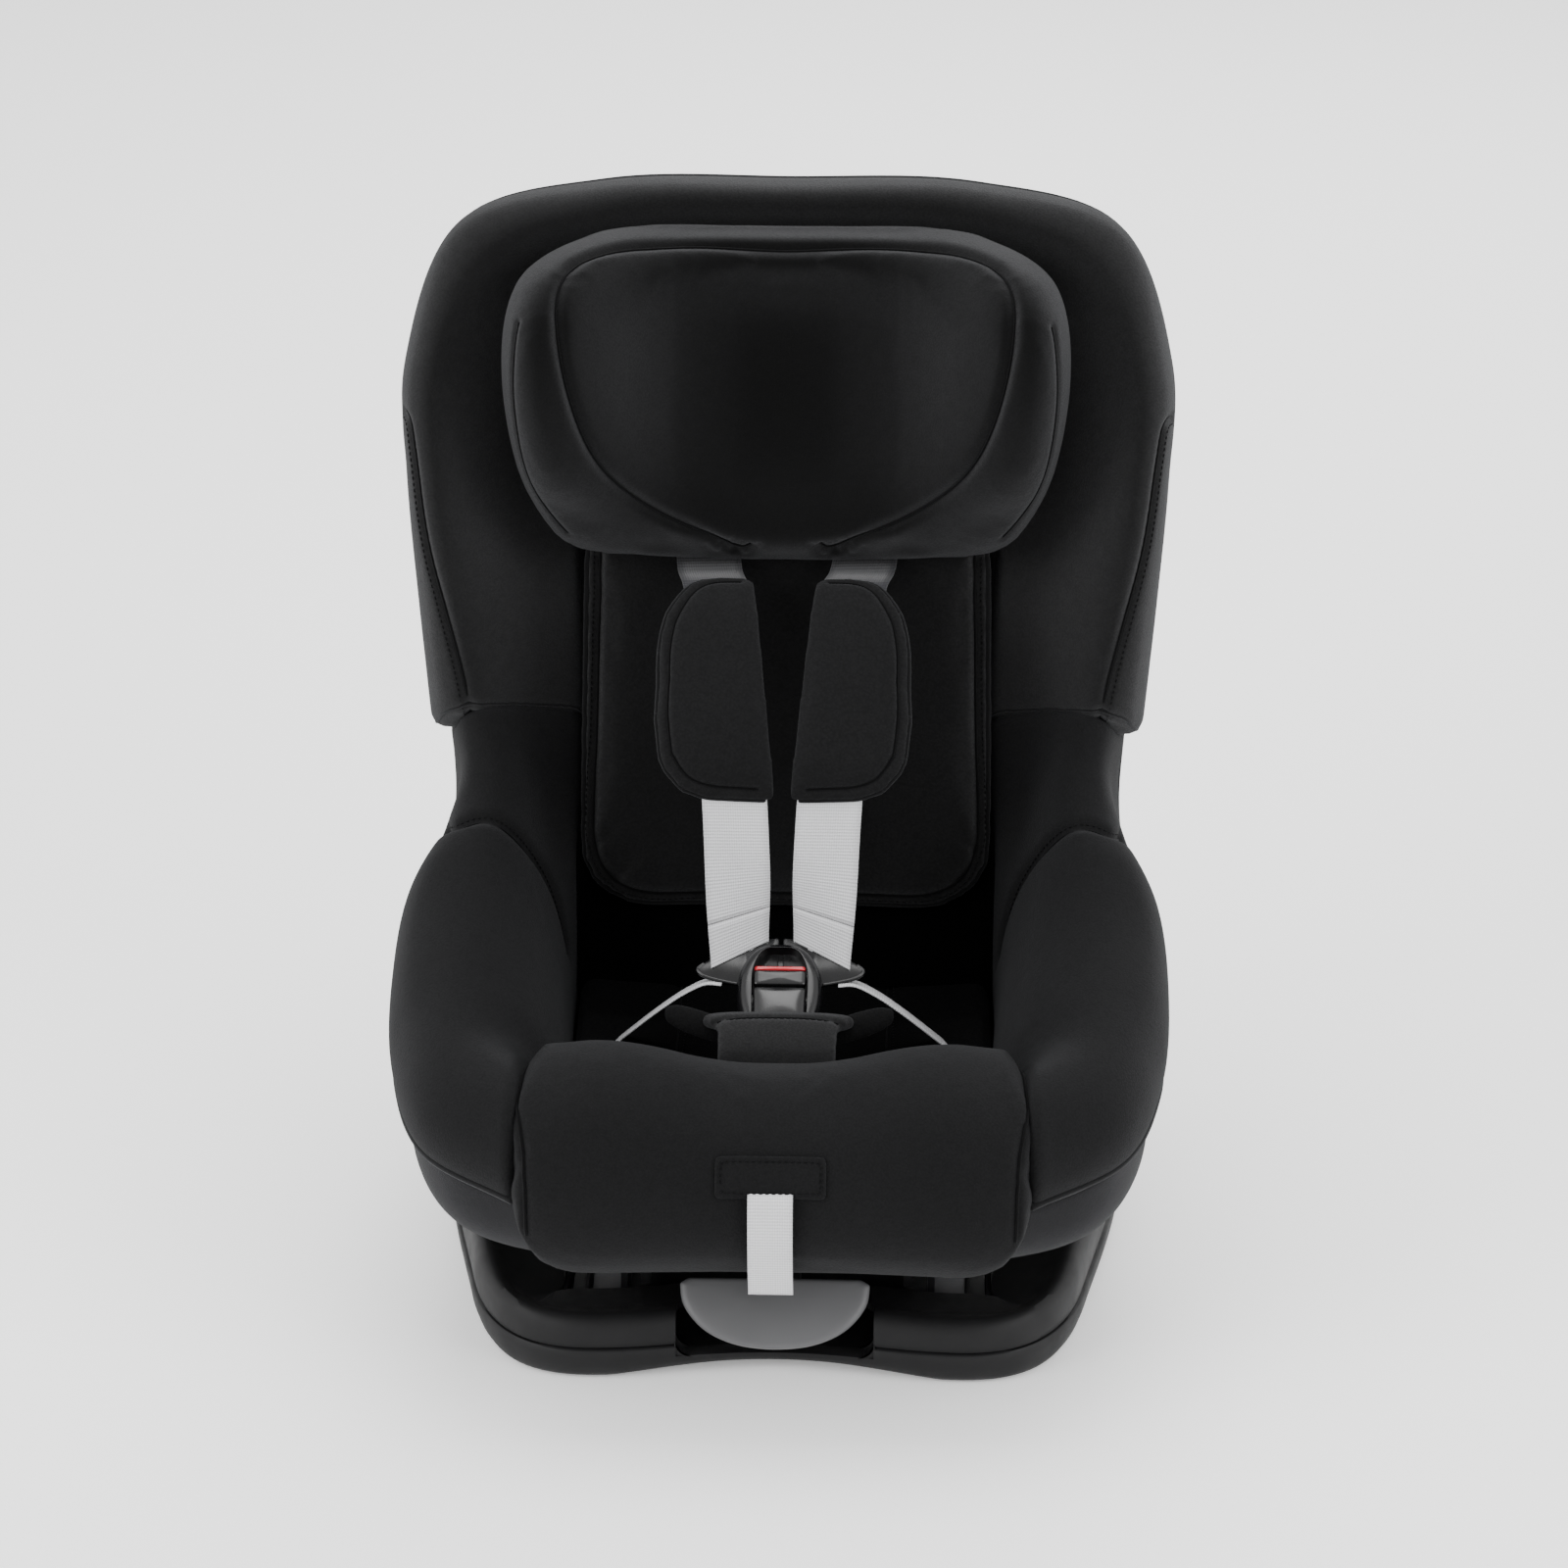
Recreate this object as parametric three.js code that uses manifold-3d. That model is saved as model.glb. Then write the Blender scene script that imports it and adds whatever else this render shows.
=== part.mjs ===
// Convertible car seat: a padded bucket on a low base, with a five-point harness.
//
// Frame: millimetres, +Z up, the occupant faces -Y, +X is on the right of someone looking at the seat's front.
// The origin is on the floor plane, under the middle of the base.
//
// The seat shell tips forward on an axle in a carriage, and the carriage slides along curved rails in the base
// to recline. The headrest and the shoulder pads slide together along the backrest.
import * as THREE from "three";
import { mergeVertices } from "three/addons/utils/BufferGeometryUtils.js";
import Module from "manifold-3d";

const wasm = await Module();
wasm.setup();

// ---------------------------------------------------------------- driving dimensions

const BACK_ANGLE = THREE.MathUtils.degToRad(15); // backrest, from upright
const BACK_Y = 60; // the backrest surface crosses this y ...
const BACK_Z = 306; // ... at this height
const GAP = 0.4; // clearance between neighbouring pieces
const SHELL_T = 4; // wall of the moulded seat shell
const HEADREST_DROP = 60; // travel below the drawn position
const HEADREST_RISE = 20; // travel above it
const HEADREST_PITCH = 20; // between locked heights

const RECLINE_Y = -15; // centre of the recline arc
const RECLINE_Z = 400;
const RAIL_R = 372; // radius of the recline track
const RECLINE_STEPS = 4; // locked positions
const RECLINE_TRAVEL = THREE.MathUtils.degToRad(8);

const AXLE_Y = -135; // tilt axle
const AXLE_Z = 50;
const AXLE_R = 6;

const BASE_FRONT = -205;
const BASE_REAR = 198;
const SPLIT_Z = 21; // joint between the two base mouldings
const RIM_FRONT_Z = 38; // rim height at the front
const RIM_SLOPE = 0.135; // rise of the rim towards the rear
const NOTCH_HALF = 60; // half width of the hand recess in the base's front

const WEB_W = 38; // shoulder webbing
const WEB_T = 1.6;
const LAP_W = 30; // lap webbing
const ADJUST_W = 25; // adjuster webbing

const v3 = (x, y, z) => new THREE.Vector3(x, y, z);
const backY = (z) => BACK_Y + (z - BACK_Z) * Math.tan(BACK_ANGLE);
const rimZ = (y) => RIM_FRONT_Z + RIM_SLOPE * (y - BASE_FRONT);

// ---------------------------------------------------------------- materials

const paint = (color, roughness, metalness = 0) =>
  new THREE.MeshStandardMaterial({ color, roughness, metalness });
const MATERIAL = {
  fabric: paint(0x1c1c1d, 0.9),
  softFabric: paint(0x141415, 0.95),
  sideFabric: paint(0x26262a, 0.7),
  foam: paint(0xd9d9d6, 0.95),
  plastic: paint(0x2b2b2c, 0.55),
  shellPlastic: paint(0x18181a, 0.6),
  greyPlastic: paint(0x6a6a6b, 0.5),
  webbing: paint(0xc4c4c6, 0.8),
  darkWebbing: paint(0x2a2a2c, 0.85),
  steel: paint(0x9a9ca0, 0.35, 1),
  glossPlastic: paint(0x1a1a1b, 0.25),
  red: paint(0xb01018, 0.4),
  rubber: paint(0x101010, 0.9),
};

// ---------------------------------------------------------------- solids

// A mesh geometry as a manifold-3d solid. Its faces are turned round if they point inwards.
function toSolid(geometry) {
  const bare = geometry.index ? geometry.toNonIndexed() : geometry.clone();
  const plain = new THREE.BufferGeometry().setAttribute("position", bare.getAttribute("position"));
  const merged = mergeVertices(plain, 1e-3);
  const build = (triVerts) =>
    new wasm.Manifold(
      new wasm.Mesh({ numProp: 3, vertProperties: merged.attributes.position.array, triVerts }),
    );
  const triangles = new Uint32Array(merged.index.array);
  const solid = build(triangles);
  return solid.volume() > 0 ? solid : build(triangles.reverse());
}

function toGeometry(solid) {
  const mesh = solid.getMesh();
  const positions = new Float32Array(mesh.numVert * 3);
  for (let i = 0; i < mesh.numVert; i++)
    positions.set(mesh.vertProperties.subarray(i * mesh.numProp, i * mesh.numProp + 3), i * 3);
  return new THREE.BufferGeometry()
    .setAttribute("position", new THREE.BufferAttribute(positions, 3))
    .setIndex(new THREE.BufferAttribute(mesh.triVerts, 1));
}

const largest = (solid) => solid.decompose().sort((a, b) => b.volume() - a.volume())[0];

function cut(solid, ...tools) {
  for (const tool of tools) solid = solid.subtract(tool);
  return largest(solid);
}

const join = (first, ...rest) => rest.reduce((sum, solid) => sum.add(solid), first);

// A closed solid skinned over rings of equal length. The ends are capped,
// unless loop joins the last ring to the first.
function skin(rings, loop = false) {
  const count = rings[0].length;
  const positions = rings.flat().flatMap((p) => [p.x, p.y, p.z]);
  const index = [];
  const last = loop ? rings.length : rings.length - 1;
  for (let i = 0; i < last; i++)
    for (let j = 0; j < count; j++) {
      const a = i * count + j;
      const b = i * count + ((j + 1) % count);
      const c = ((i + 1) % rings.length) * count + j;
      const d = ((i + 1) % rings.length) * count + ((j + 1) % count);
      index.push(a, b, d, a, d, c);
    }
  if (!loop) {
    for (const t of capFaces(rings[0])) index.push(t[0], t[2], t[1]);
    const start = (rings.length - 1) * count;
    for (const t of capFaces(rings.at(-1))) index.push(start + t[0], start + t[1], start + t[2]);
  }
  const geometry = new THREE.BufferGeometry();
  geometry.setAttribute("position", new THREE.Float32BufferAttribute(positions, 3));
  geometry.setIndex(index);
  return toSolid(geometry);
}

// Triangles of a ring's flat cap, found in the ring's own plane, with the same turning sense as the ring.
function capFaces(ring) {
  const normal = v3(0, 0, 0);
  ring.forEach((p, i) => normal.add(p.clone().cross(ring[(i + 1) % ring.length])));
  normal.normalize();
  const u = ring[1].clone().sub(ring[0]).normalize();
  const w = normal.clone().cross(u);
  const flat = ring.map((p) => new THREE.Vector2(p.dot(u), p.dot(w)));
  return THREE.ShapeUtils.triangulateShape(flat, []);
}

// A flat shape from [a, b] points. A THREE.Shape is passed through.
function toShape(outline) {
  if (outline instanceof THREE.Shape) return outline;
  return new THREE.Shape(outline.map(([a, b]) => new THREE.Vector2(a, b)));
}

// An outline in the YZ plane pushed from x0 to x1.
function pushX(outline, x0, x1, curveSegments = 12) {
  const shape = toShape(outline);
  const geometry = new THREE.ExtrudeGeometry(shape, { depth: x1 - x0, bevelEnabled: false, curveSegments });
  geometry.applyMatrix4(new THREE.Matrix4().makeBasis(v3(0, 1, 0), v3(0, 0, 1), v3(1, 0, 0)));
  return toSolid(geometry.translate(x0, 0, 0));
}

// An outline in the XY plane pushed from z0 to z1.
function pushZ(outline, z0, z1, curveSegments = 12) {
  const shape = toShape(outline);
  const geometry = new THREE.ExtrudeGeometry(shape, { depth: z1 - z0, bevelEnabled: false, curveSegments });
  return toSolid(geometry.translate(0, 0, z0));
}

function box(x0, x1, y0, y1, z0, z1) {
  const geometry = new THREE.BoxGeometry(x1 - x0, y1 - y0, z1 - z0);
  return toSolid(geometry.translate((x0 + x1) / 2, (y0 + y1) / 2, (z0 + z1) / 2));
}

function rod(from, to, radius, segments = 20) {
  const along = to.clone().sub(from);
  const geometry = new THREE.CylinderGeometry(radius, radius, along.length(), segments);
  const turn = new THREE.Quaternion().setFromUnitVectors(v3(0, 1, 0), along.clone().normalize());
  geometry.applyQuaternion(turn).translate(...from.clone().add(to).multiplyScalar(0.5).toArray());
  return toSolid(geometry);
}

const rodX = (y, z, x0, x1, radius, segments) => rod(v3(x0, y, z), v3(x1, y, z), radius, segments);
// A cutting rod for a shaft of that radius: its flats stay clear of the shaft's corners as it turns.
const boreX = (y, z, x0, x1, radius, segments = 20) =>
  rodX(y, z, x0, x1, (radius + 0.05) / Math.cos(Math.PI / segments), segments);

// A solid built around the origin, moved by a matrix.
function place(solid, matrix) {
  return toSolid(toGeometry(solid).applyMatrix4(matrix));
}

const mirror = (solid) => place(solid, new THREE.Matrix4().makeScale(-1, 1, 1));

// A flat strap along points: width lies along side, thickness across it.
function strap(points, width, thickness, side = v3(1, 0, 0), divisions = 2) {
  const curve = new THREE.CatmullRomCurve3(points, false, "centripetal");
  const count = (points.length - 1) * divisions;
  const rings = [];
  for (let i = 0; i <= count; i++) {
    const p = curve.getPoint(i / count);
    const up = curve.getTangent(i / count).cross(side).normalize();
    const half = side.clone().multiplyScalar(width / 2);
    const lift = up.multiplyScalar(thickness / 2);
    rings.push([
      p.clone().sub(half).sub(lift),
      p.clone().add(half).sub(lift),
      p.clone().add(half).add(lift),
      p.clone().sub(half).add(lift),
    ]);
  }
  return skin(rings);
}

// Rows of matching points, made finer along the rows' order by a smooth curve through each column.
function refine(rows, divisions) {
  const curves = rows[0].map((_, j) => new THREE.CatmullRomCurve3(rows.map((r) => r[j]), false, "centripetal"));
  const count = (rows.length - 1) * divisions;
  return Array.from({ length: count + 1 }, (_, i) => curves.map((curve) => curve.getPoint(i / count)));
}

const mirrored = (row) => row.map((p) => v3(-p.x, p.y, p.z));

// ---------------------------------------------------------------- the padded rim

// The padding is one continuous roll, from beside the knee roll, along the armrest, up the side of the back and
// over its top. Each station is a cut across it, for +X: foot (where it leaves the seat surface), slope, crest,
// brow, outer (its widest), hem (where the cover tucks on to the shell), then three points hidden in the shell:
// tuck, heel and sole.
const station = (...points) => points.map((p) => v3(...p));
const RIM = [
  station(
    [138, -160, 168], [141, -188, 198], [144, -217, 208], [145, -240, 200], [146, -254, 176],
    [145, -256, 148], [139, -246, 138], [138, -226, 118], [136, -165, 92],
  ),
  station(
    [131, -148, 166], [150, -163, 199], [173, -184, 212], [188, -202, 203], [198, -214, 178],
    [198, -210, 152], [189, -203, 146], [176, -186, 112], [131, -150, 90],
  ),
  station(
    [127, -128, 166], [144, -132, 203], [180, -142, 226], [206, -148, 216], [220, -150, 190],
    [219, -147, 162], [211, -146, 154], [192, -140, 104], [128, -130, 84],
  ),
  station(
    [127, -86, 168], [142, -86, 212], [180, -88, 246], [212, -91, 236], [225, -92, 206],
    [222, -89, 168], [214, -88, 158], [194, -86, 99], [127, -86, 80],
  ),
  station(
    [129, -42, 172], [142, -42, 222], [176, -46, 264], [208, -50, 258], [223, -48, 230],
    [219, -42, 180], [211, -40, 168], [192, -38, 98], [129, -40, 80],
  ),
  station(
    [131, -2, 190], [144, -6, 236], [172, -14, 280], [198, -10, 276], [211, 2, 250],
    [211, 20, 200], [203, 24, 188], [186, 36, 104], [131, 10, 84],
  ),
  station(
    [127, 34, 238], [146, 22, 268], [172, 4, 302], [194, 8, 298], [205, 30, 274],
    [208, 62, 248], [200, 66, 240], [180, 100, 150], [127, 80, 130],
  ),
  station(
    [121, 60, 306], [150, 42, 318], [184, 15, 328], [200, 20, 322], [210, 40, 306],
    [211, 78, 296], [203, 82, 292], [176, 112, 260], [121, 118, 255],
  ),
  station(
    [124, 80, 380], [152, 56, 385], [192, 18, 392], [208, 24, 388], [217, 48, 380],
    [218, 90, 376], [210, 94, 374], [182, 132, 364], [124, 138, 362],
  ),
  station(
    [130, 100, 456], [163, 74, 459], [202, 26, 464], [216, 34, 462], [223, 58, 459],
    [223, 102, 456], [215, 106, 455], [188, 148, 450], [130, 153, 448],
  ),
  station(
    [134, 117, 518], [166, 94, 521], [204, 52, 526], [217, 58, 525], [224, 78, 521],
    [223, 116, 517], [215, 120, 515], [186, 160, 508], [132, 165, 506],
  ),
  station(
    [118, 127, 552], [148, 118, 568], [176, 94, 584], [186, 99, 591], [194, 110, 594],
    [193, 134, 590], [187, 138, 583], [164, 162, 556], [118, 168, 540],
  ),
  station(
    [70, 131, 568], [88, 127, 587], [102, 118, 602], [106, 121, 609], [110, 130, 613],
    [110, 152, 610], [108, 156, 602], [98, 168, 578], [70, 171, 556],
  ),
  station(
    [0, 132, 572], [0, 129, 590], [0, 122, 604], [0, 125, 611], [0, 134, 614],
    [0, 156, 611], [0, 160, 603], [0, 170, 582], [0, 173, 560],
  ),
];
const WAIST = 7; // station of the seam between the armrest cover and the backrest cover

// ---------------------------------------------------------------- seat shell

// The bucket is a run of ribs from the front lip to the top. A rib stands on the keel point (y, z), and its wall
// rises by the vector (rise y, rise z) to the half width given.
const rib = (y, z, riseY, riseZ, half) => ({ y, z, riseY, riseZ, half });
const RIBS = [
  rib(-226, 96, -6, 36, 139),
  rib(-190, 85, -4, 52, 188),
  rib(-140, 77, 0, 68, 210),
  rib(-90, 72, 0, 84, 214),
  rib(-40, 70, 0, 96, 211),
  rib(16, 71, 4, 112, 203),
  rib(66, 82, 2, 148, 200),
  rib(92, 112, -12, 168, 202),
  rib(102, 170, -12, 160, 203),
  rib(109, 240, -13, 116, 205),
  rib(125, 320, -21, 66, 209),
  rib(146, 400, -32, 30, 213),
  rib(164.5, 470, -42, 4, 216),
  rib(180.5, 530, -43, -6, 210),
  rib(191, 570, -41, -2, 180),
  rib(192, 594, -30, 6, 120),
];
// The rib's profile from keel to rim, as shares of its half width and, in mm, of its rise.
const RIB_PROFILE = [[0, 0], [0.45, 0], [0.74, 0.02], [0.9, 0.16], [0.97, 0.42], [1, 1]];

// A rib beyond the end of the run, a little way further along the line of the last two.
function beyond(end, before, share) {
  const keys = ["y", "z", "riseY", "riseZ", "half"];
  return Object.fromEntries(keys.map((key) => [key, end[key] + (end[key] - before[key]) * share]));
}

// The bucket between two depths behind its outer surface. As a clearance tool it is carried past its own edges.
function shellSolid(from, to, grow = 0) {
  const ribs = [beyond(RIBS[0], RIBS[1], 0.08), ...RIBS, beyond(RIBS.at(-1), RIBS.at(-2), 0.12)];
  const rows = ribs.map((r) => {
    const rim = 1 + grow / Math.hypot(r.riseY, r.riseZ);
    const side = RIB_PROFILE.map(([across, up]) => {
      const rise = up === 1 ? rim : up;
      return v3(r.half * across, r.y + r.riseY * rise, r.z + r.riseZ * rise);
    });
    return [...mirrored(side.slice(1)).reverse(), ...side];
  });
  const inner = (i) => Math.min(Math.max(i, 1), rows.length - 2);
  const normal = (i, j) => {
    const along = rows[inner(i) + 1][j].clone().sub(rows[inner(i) - 1][j]);
    const row = rows[inner(i)];
    const across = row[Math.min(j + 1, row.length - 1)].clone().sub(row[Math.max(j - 1, 0)]);
    return along.cross(across).normalize().negate();
  };
  const shift = (row, i, depth) => row.map((p, j) => p.clone().addScaledVector(normal(i, j), depth));
  const rings = rows.map((row, i) => [...shift(row, i, from), ...shift(row, i, to).reverse()]);
  return skin(grow ? rings : rings.slice(1, -1));
}

const shellBlank = shellSolid(0, SHELL_T);
const shellHalfClear = shellSolid(-1.2, SHELL_T + 1, 1.5);
const shellClear = join(shellHalfClear, mirror(shellHalfClear));

const SLIDER_Z = 510; // height of the middle of the headrest's slider
const CHANNEL_HALF = 20; // slot for the headrest's stem
const CHANNEL = box(-CHANNEL_HALF, CHANNEL_HALF, 60, 230, 392, 583);
const HARNESS_X = 48; // middle of each shoulder strap
const harnessSlot = (side) =>
  box(side * HARNESS_X - 22, side * HARNESS_X + 22, 60, 230, 340, 480);
const FRONT_SLOT = box(-ADJUST_W / 2 - 2, ADJUST_W / 2 + 2, 60, 150, 126, 140);
const CROTCH_SLOT = box(-WEB_W / 2 - 2, WEB_W / 2 + 2, -160, -144, 60, 200);

// ---------------------------------------------------------------- model tree

const seat = new THREE.Group();
function add(name, solid, material) {
  const mesh = new THREE.Mesh(toGeometry(solid), material);
  mesh.name = name;
  seat.add(mesh);
}
function addPair(name, right, material) {
  add(name + "_right", right, material);
  add(name + "_left", mirror(right), material);
}

// ---------------------------------------------------------------- base

const CLAMP = { x: 158, y: 96, z: 88 }; // hinge pin of a vehicle belt clamp
// Axes of the screws that join the base halves.
const SCREWS = [[-150, -120], [150, -120], [-150, 130], [150, 130]];
const CENTRE_FOOT_R = 14; // round foot moulded under the middle of the base

// Half of the base's plan, from the middle of the front to the middle of the rear, drawn in by inset.
function basePlan(inset) {
  const f = BASE_FRONT + inset;
  const r = BASE_REAR - inset;
  const s = (x) => x - inset;
  const half = new THREE.Path();
  half.moveTo(0, f + 12);
  half.bezierCurveTo(45, f + 12, 70, f, 108, f);
  half.bezierCurveTo(150, f, s(172), -172, s(181), -128);
  half.bezierCurveTo(s(192), -70, s(208), -10, s(208), 60);
  half.bezierCurveTo(s(208), 150, 175, r, 130, r);
  half.lineTo(0, r);
  return half.getPoints(8);
}

function baseLoop(inset) {
  const half = basePlan(inset);
  return [...half, ...half.slice(1, -1).reverse().map((p) => new THREE.Vector2(-p.x, p.y))];
}

const level = (loop, z) => loop.map((p) => v3(p.x, p.y, typeof z === "function" ? z(p.y) : z));

function addBase() {
  const tray = skin([
    level(baseLoop(9), 1),
    level(baseLoop(3), 5),
    level(baseLoop(0.5), 12),
    level(baseLoop(1), SPLIT_Z - GAP),
  ]);
  const pocket = skin([level(baseLoop(14), 8), level(baseLoop(8), SPLIT_Z + 1)]);
  const arch = new THREE.Shape();
  arch.moveTo(-95, -1);
  arch.quadraticCurveTo(0, 12, 95, -1);
  const standing = new THREE.Matrix4().makeBasis(v3(1, 0, 0), v3(0, 0, 1), v3(0, 1, 0));
  const archCut = place(pushZ(arch, -260, 260, 10), standing);
  const lip = box(-NOTCH_HALF + 3, NOTCH_HALF - 3, -260, -150, 15, 60);
  const upright = (radius, z0, z1, segments) =>
    SCREWS.map(([x, y]) => rod(v3(x, y, z0), v3(x, y, z1), radius, segments));
  const bosses = upright(7, 6, 17, 16);
  const screwHoles = [...upright(2.4, -5, 30, 12), ...upright(4.6, -5, 6, 14)];
  const centreFoot = rod(v3(0, 0, 0), v3(0, 0, 7.5), CENTRE_FOOT_R, 32);
  const shallow = tray.subtract(pocket).subtract(archCut).subtract(lip);
  const lower = join(shallow, centreFoot, ...bosses);
  add("base_lower", cut(lower, ...screwHoles, footStrip(GAP), mirror(footStrip(GAP))), MATERIAL.plastic);

  // The upper moulding is one rim, carried round the plan: outer wall, rounded brow,
  // then a deck sloping inwards.
  const deck = 54;
  const loops = [
    level(baseLoop(2.5), SPLIT_Z),
    level(baseLoop(2), (y) => SPLIT_Z + (rimZ(y) - SPLIT_Z) * 0.35),
    level(baseLoop(5), (y) => rimZ(y) - 5),
    level(baseLoop(11), (y) => rimZ(y)),
    level(baseLoop(18), (y) => rimZ(y) - 2),
    level(baseLoop(deck), (y) => rimZ(y) - 13),
    level(baseLoop(deck), (y) => rimZ(y) - 16.5),
    level(baseLoop(16), (y) => rimZ(y) - 6),
    level(baseLoop(9), (y) => rimZ(y) - 9),
    level(baseLoop(6), (y) => SPLIT_Z + (rimZ(y) - SPLIT_Z) * 0.35),
    level(baseLoop(6.5), SPLIT_Z),
  ];
  const rings = loops[0].map((_, i) => loops.map((loop) => loop[i]));
  const notch = box(-NOTCH_HALF, NOTCH_HALF, -260, -140, SPLIT_Z - 2, 80);
  const columns = SCREWS.map(([x, y]) => rod(v3(x, y, 17.3), v3(x, y, rimZ(y) - 12), 6, 16));
  const pilot = upright(2.4, 10, 40, 12);
  const ear = (x) => box(x, x + 3.2, CLAMP.y - 6, CLAMP.y + 6, 64, CLAMP.z + 6);
  const ears = [ear(CLAMP.x - 13.4), ear(CLAMP.x + 10.2)];
  const earBores = boreX(CLAMP.y, CLAMP.z, CLAMP.x - 20, CLAMP.x + 20, 2.5);
  const rim = join(skin(rings, true), ...columns, ...ears, ...ears.map(mirror));
  add("base_upper", cut(rim, notch, ...pilot, earBores, mirror(earBores)), MATERIAL.plastic);

  ["front_left", "front_right", "rear_left", "rear_right"].forEach((where, i) => {
    const [x, y] = SCREWS[i];
    const shank = rod(v3(x, y, 4.5), v3(x, y, 30), 2, 10);
    const head = rod(v3(x, y, 2.5), v3(x, y, 5.6), 4.2, 14);
    add("base_screw_" + where, join(shank, head), MATERIAL.steel);
  });
  addPair("foot_strip", footStrip(0), MATERIAL.rubber);

  addPair("recline_rail", rail(), MATERIAL.steel);
  add("lock_rack", lockRack(), MATERIAL.steel);
}

// A rubber strip under the base, set in a groove that clears it by grow.
function footStrip(grow) {
  return box(112 - grow, 128 + grow, -120 - grow, 120 + grow, grow ? -1 : 0, 2.6 + grow);
}

// A point on an arc about the recline centre, at an angle from straight down, positive towards the rear.
const arcPoint = (radius, angle) => [
  RECLINE_Y + radius * Math.sin(angle),
  RECLINE_Z - radius * Math.cos(angle),
];

function arcBand(inner, outer, from, to, steps = 14) {
  const angle = (i) => from + ((to - from) * i) / steps;
  const low = Array.from({ length: steps + 1 }, (_, i) => arcPoint(outer, angle(i)));
  const high = Array.from({ length: steps + 1 }, (_, i) => arcPoint(inner, angle(steps - i)));
  return [...low, ...high];
}

const PIN_R = 6; // glide pins
const PIN_ANGLES = [Math.asin(-62 / RAIL_R), Math.asin(88 / RAIL_R)];
const RAIL_X = [88, 92]; // faces of a rail's plate
const FLOOR_Z = 8 + GAP; // on the base's floor

function rail() {
  const ends = [PIN_ANGLES[0] - RECLINE_TRAVEL - 0.035, PIN_ANGLES[1] + 0.035];
  const top = arcBand(RAIL_R - 14, RAIL_R, ends[0], ends[1]).slice(15);
  const plate = pushX([[top.at(-1)[0], FLOOR_Z], [top[0][0], FLOOR_Z], ...top], ...RAIL_X);
  const clear = PIN_R + 0.3;
  const slot = pushX(arcBand(RAIL_R - clear, RAIL_R + clear, ends[0] + 0.017, ends[1] - 0.017), 80, 100);
  const flange = box(RAIL_X[0], RAIL_X[0] + 22, top.at(-1)[0], top[0][0], FLOOR_Z, FLOOR_Z + 3);
  return cut(join(plate, flange), slot);
}

const BOLT_Y = 14; // the recline bolt, over the rack
const RACK_R = 380; // top of the rack
function lockRack() {
  const first = Math.asin((BOLT_Y - RECLINE_Y) / RACK_R);
  const top = arcBand(RACK_R, RACK_R + 1, first - RECLINE_TRAVEL - 0.05, first + 0.05).slice(15);
  const body = pushX([[top.at(-1)[0], FLOOR_Z], [top[0][0], FLOOR_Z], ...top], -14, 14);
  const notches = Array.from({ length: RECLINE_STEPS }, (_, i) => {
    const a = first - (RECLINE_TRAVEL * i) / (RECLINE_STEPS - 1);
    return pushX(arcBand(RACK_R - 3, RACK_R + 8, a - 0.0165, a + 0.0165, 2), -20, 20);
  });
  return cut(body, ...notches);
}

// ---------------------------------------------------------------- vehicle belt clamps

function addBeltClamps() {
  const { x, y, z } = CLAMP;
  const pin = rodX(y, z, x - 13, x + 13, 2.5, 12);
  addPair("clamp_pin", pin, MATERIAL.steel);
  const arm = new THREE.Shape();
  arm.absarc(y, z, 7, Math.PI * 0.5, Math.PI * 1.5, false);
  arm.lineTo(y + 46, z - 4);
  arm.quadraticCurveTo(y + 54, z + 2, y + 46, z + 6);
  arm.closePath();
  const lever = pushX(arm, x - 9, x + 9, 8);
  addPair("belt_clamp", cut(lever, boreX(y, z, x - 20, x + 20, 2.5)), MATERIAL.glossPlastic);
}

// ---------------------------------------------------------------- carriage

const FRAME_X = [74, 79]; // faces of the carriage's side plate
const LATCH = { y: 60, z: 70 }; // pivot of the tilt latch

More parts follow.
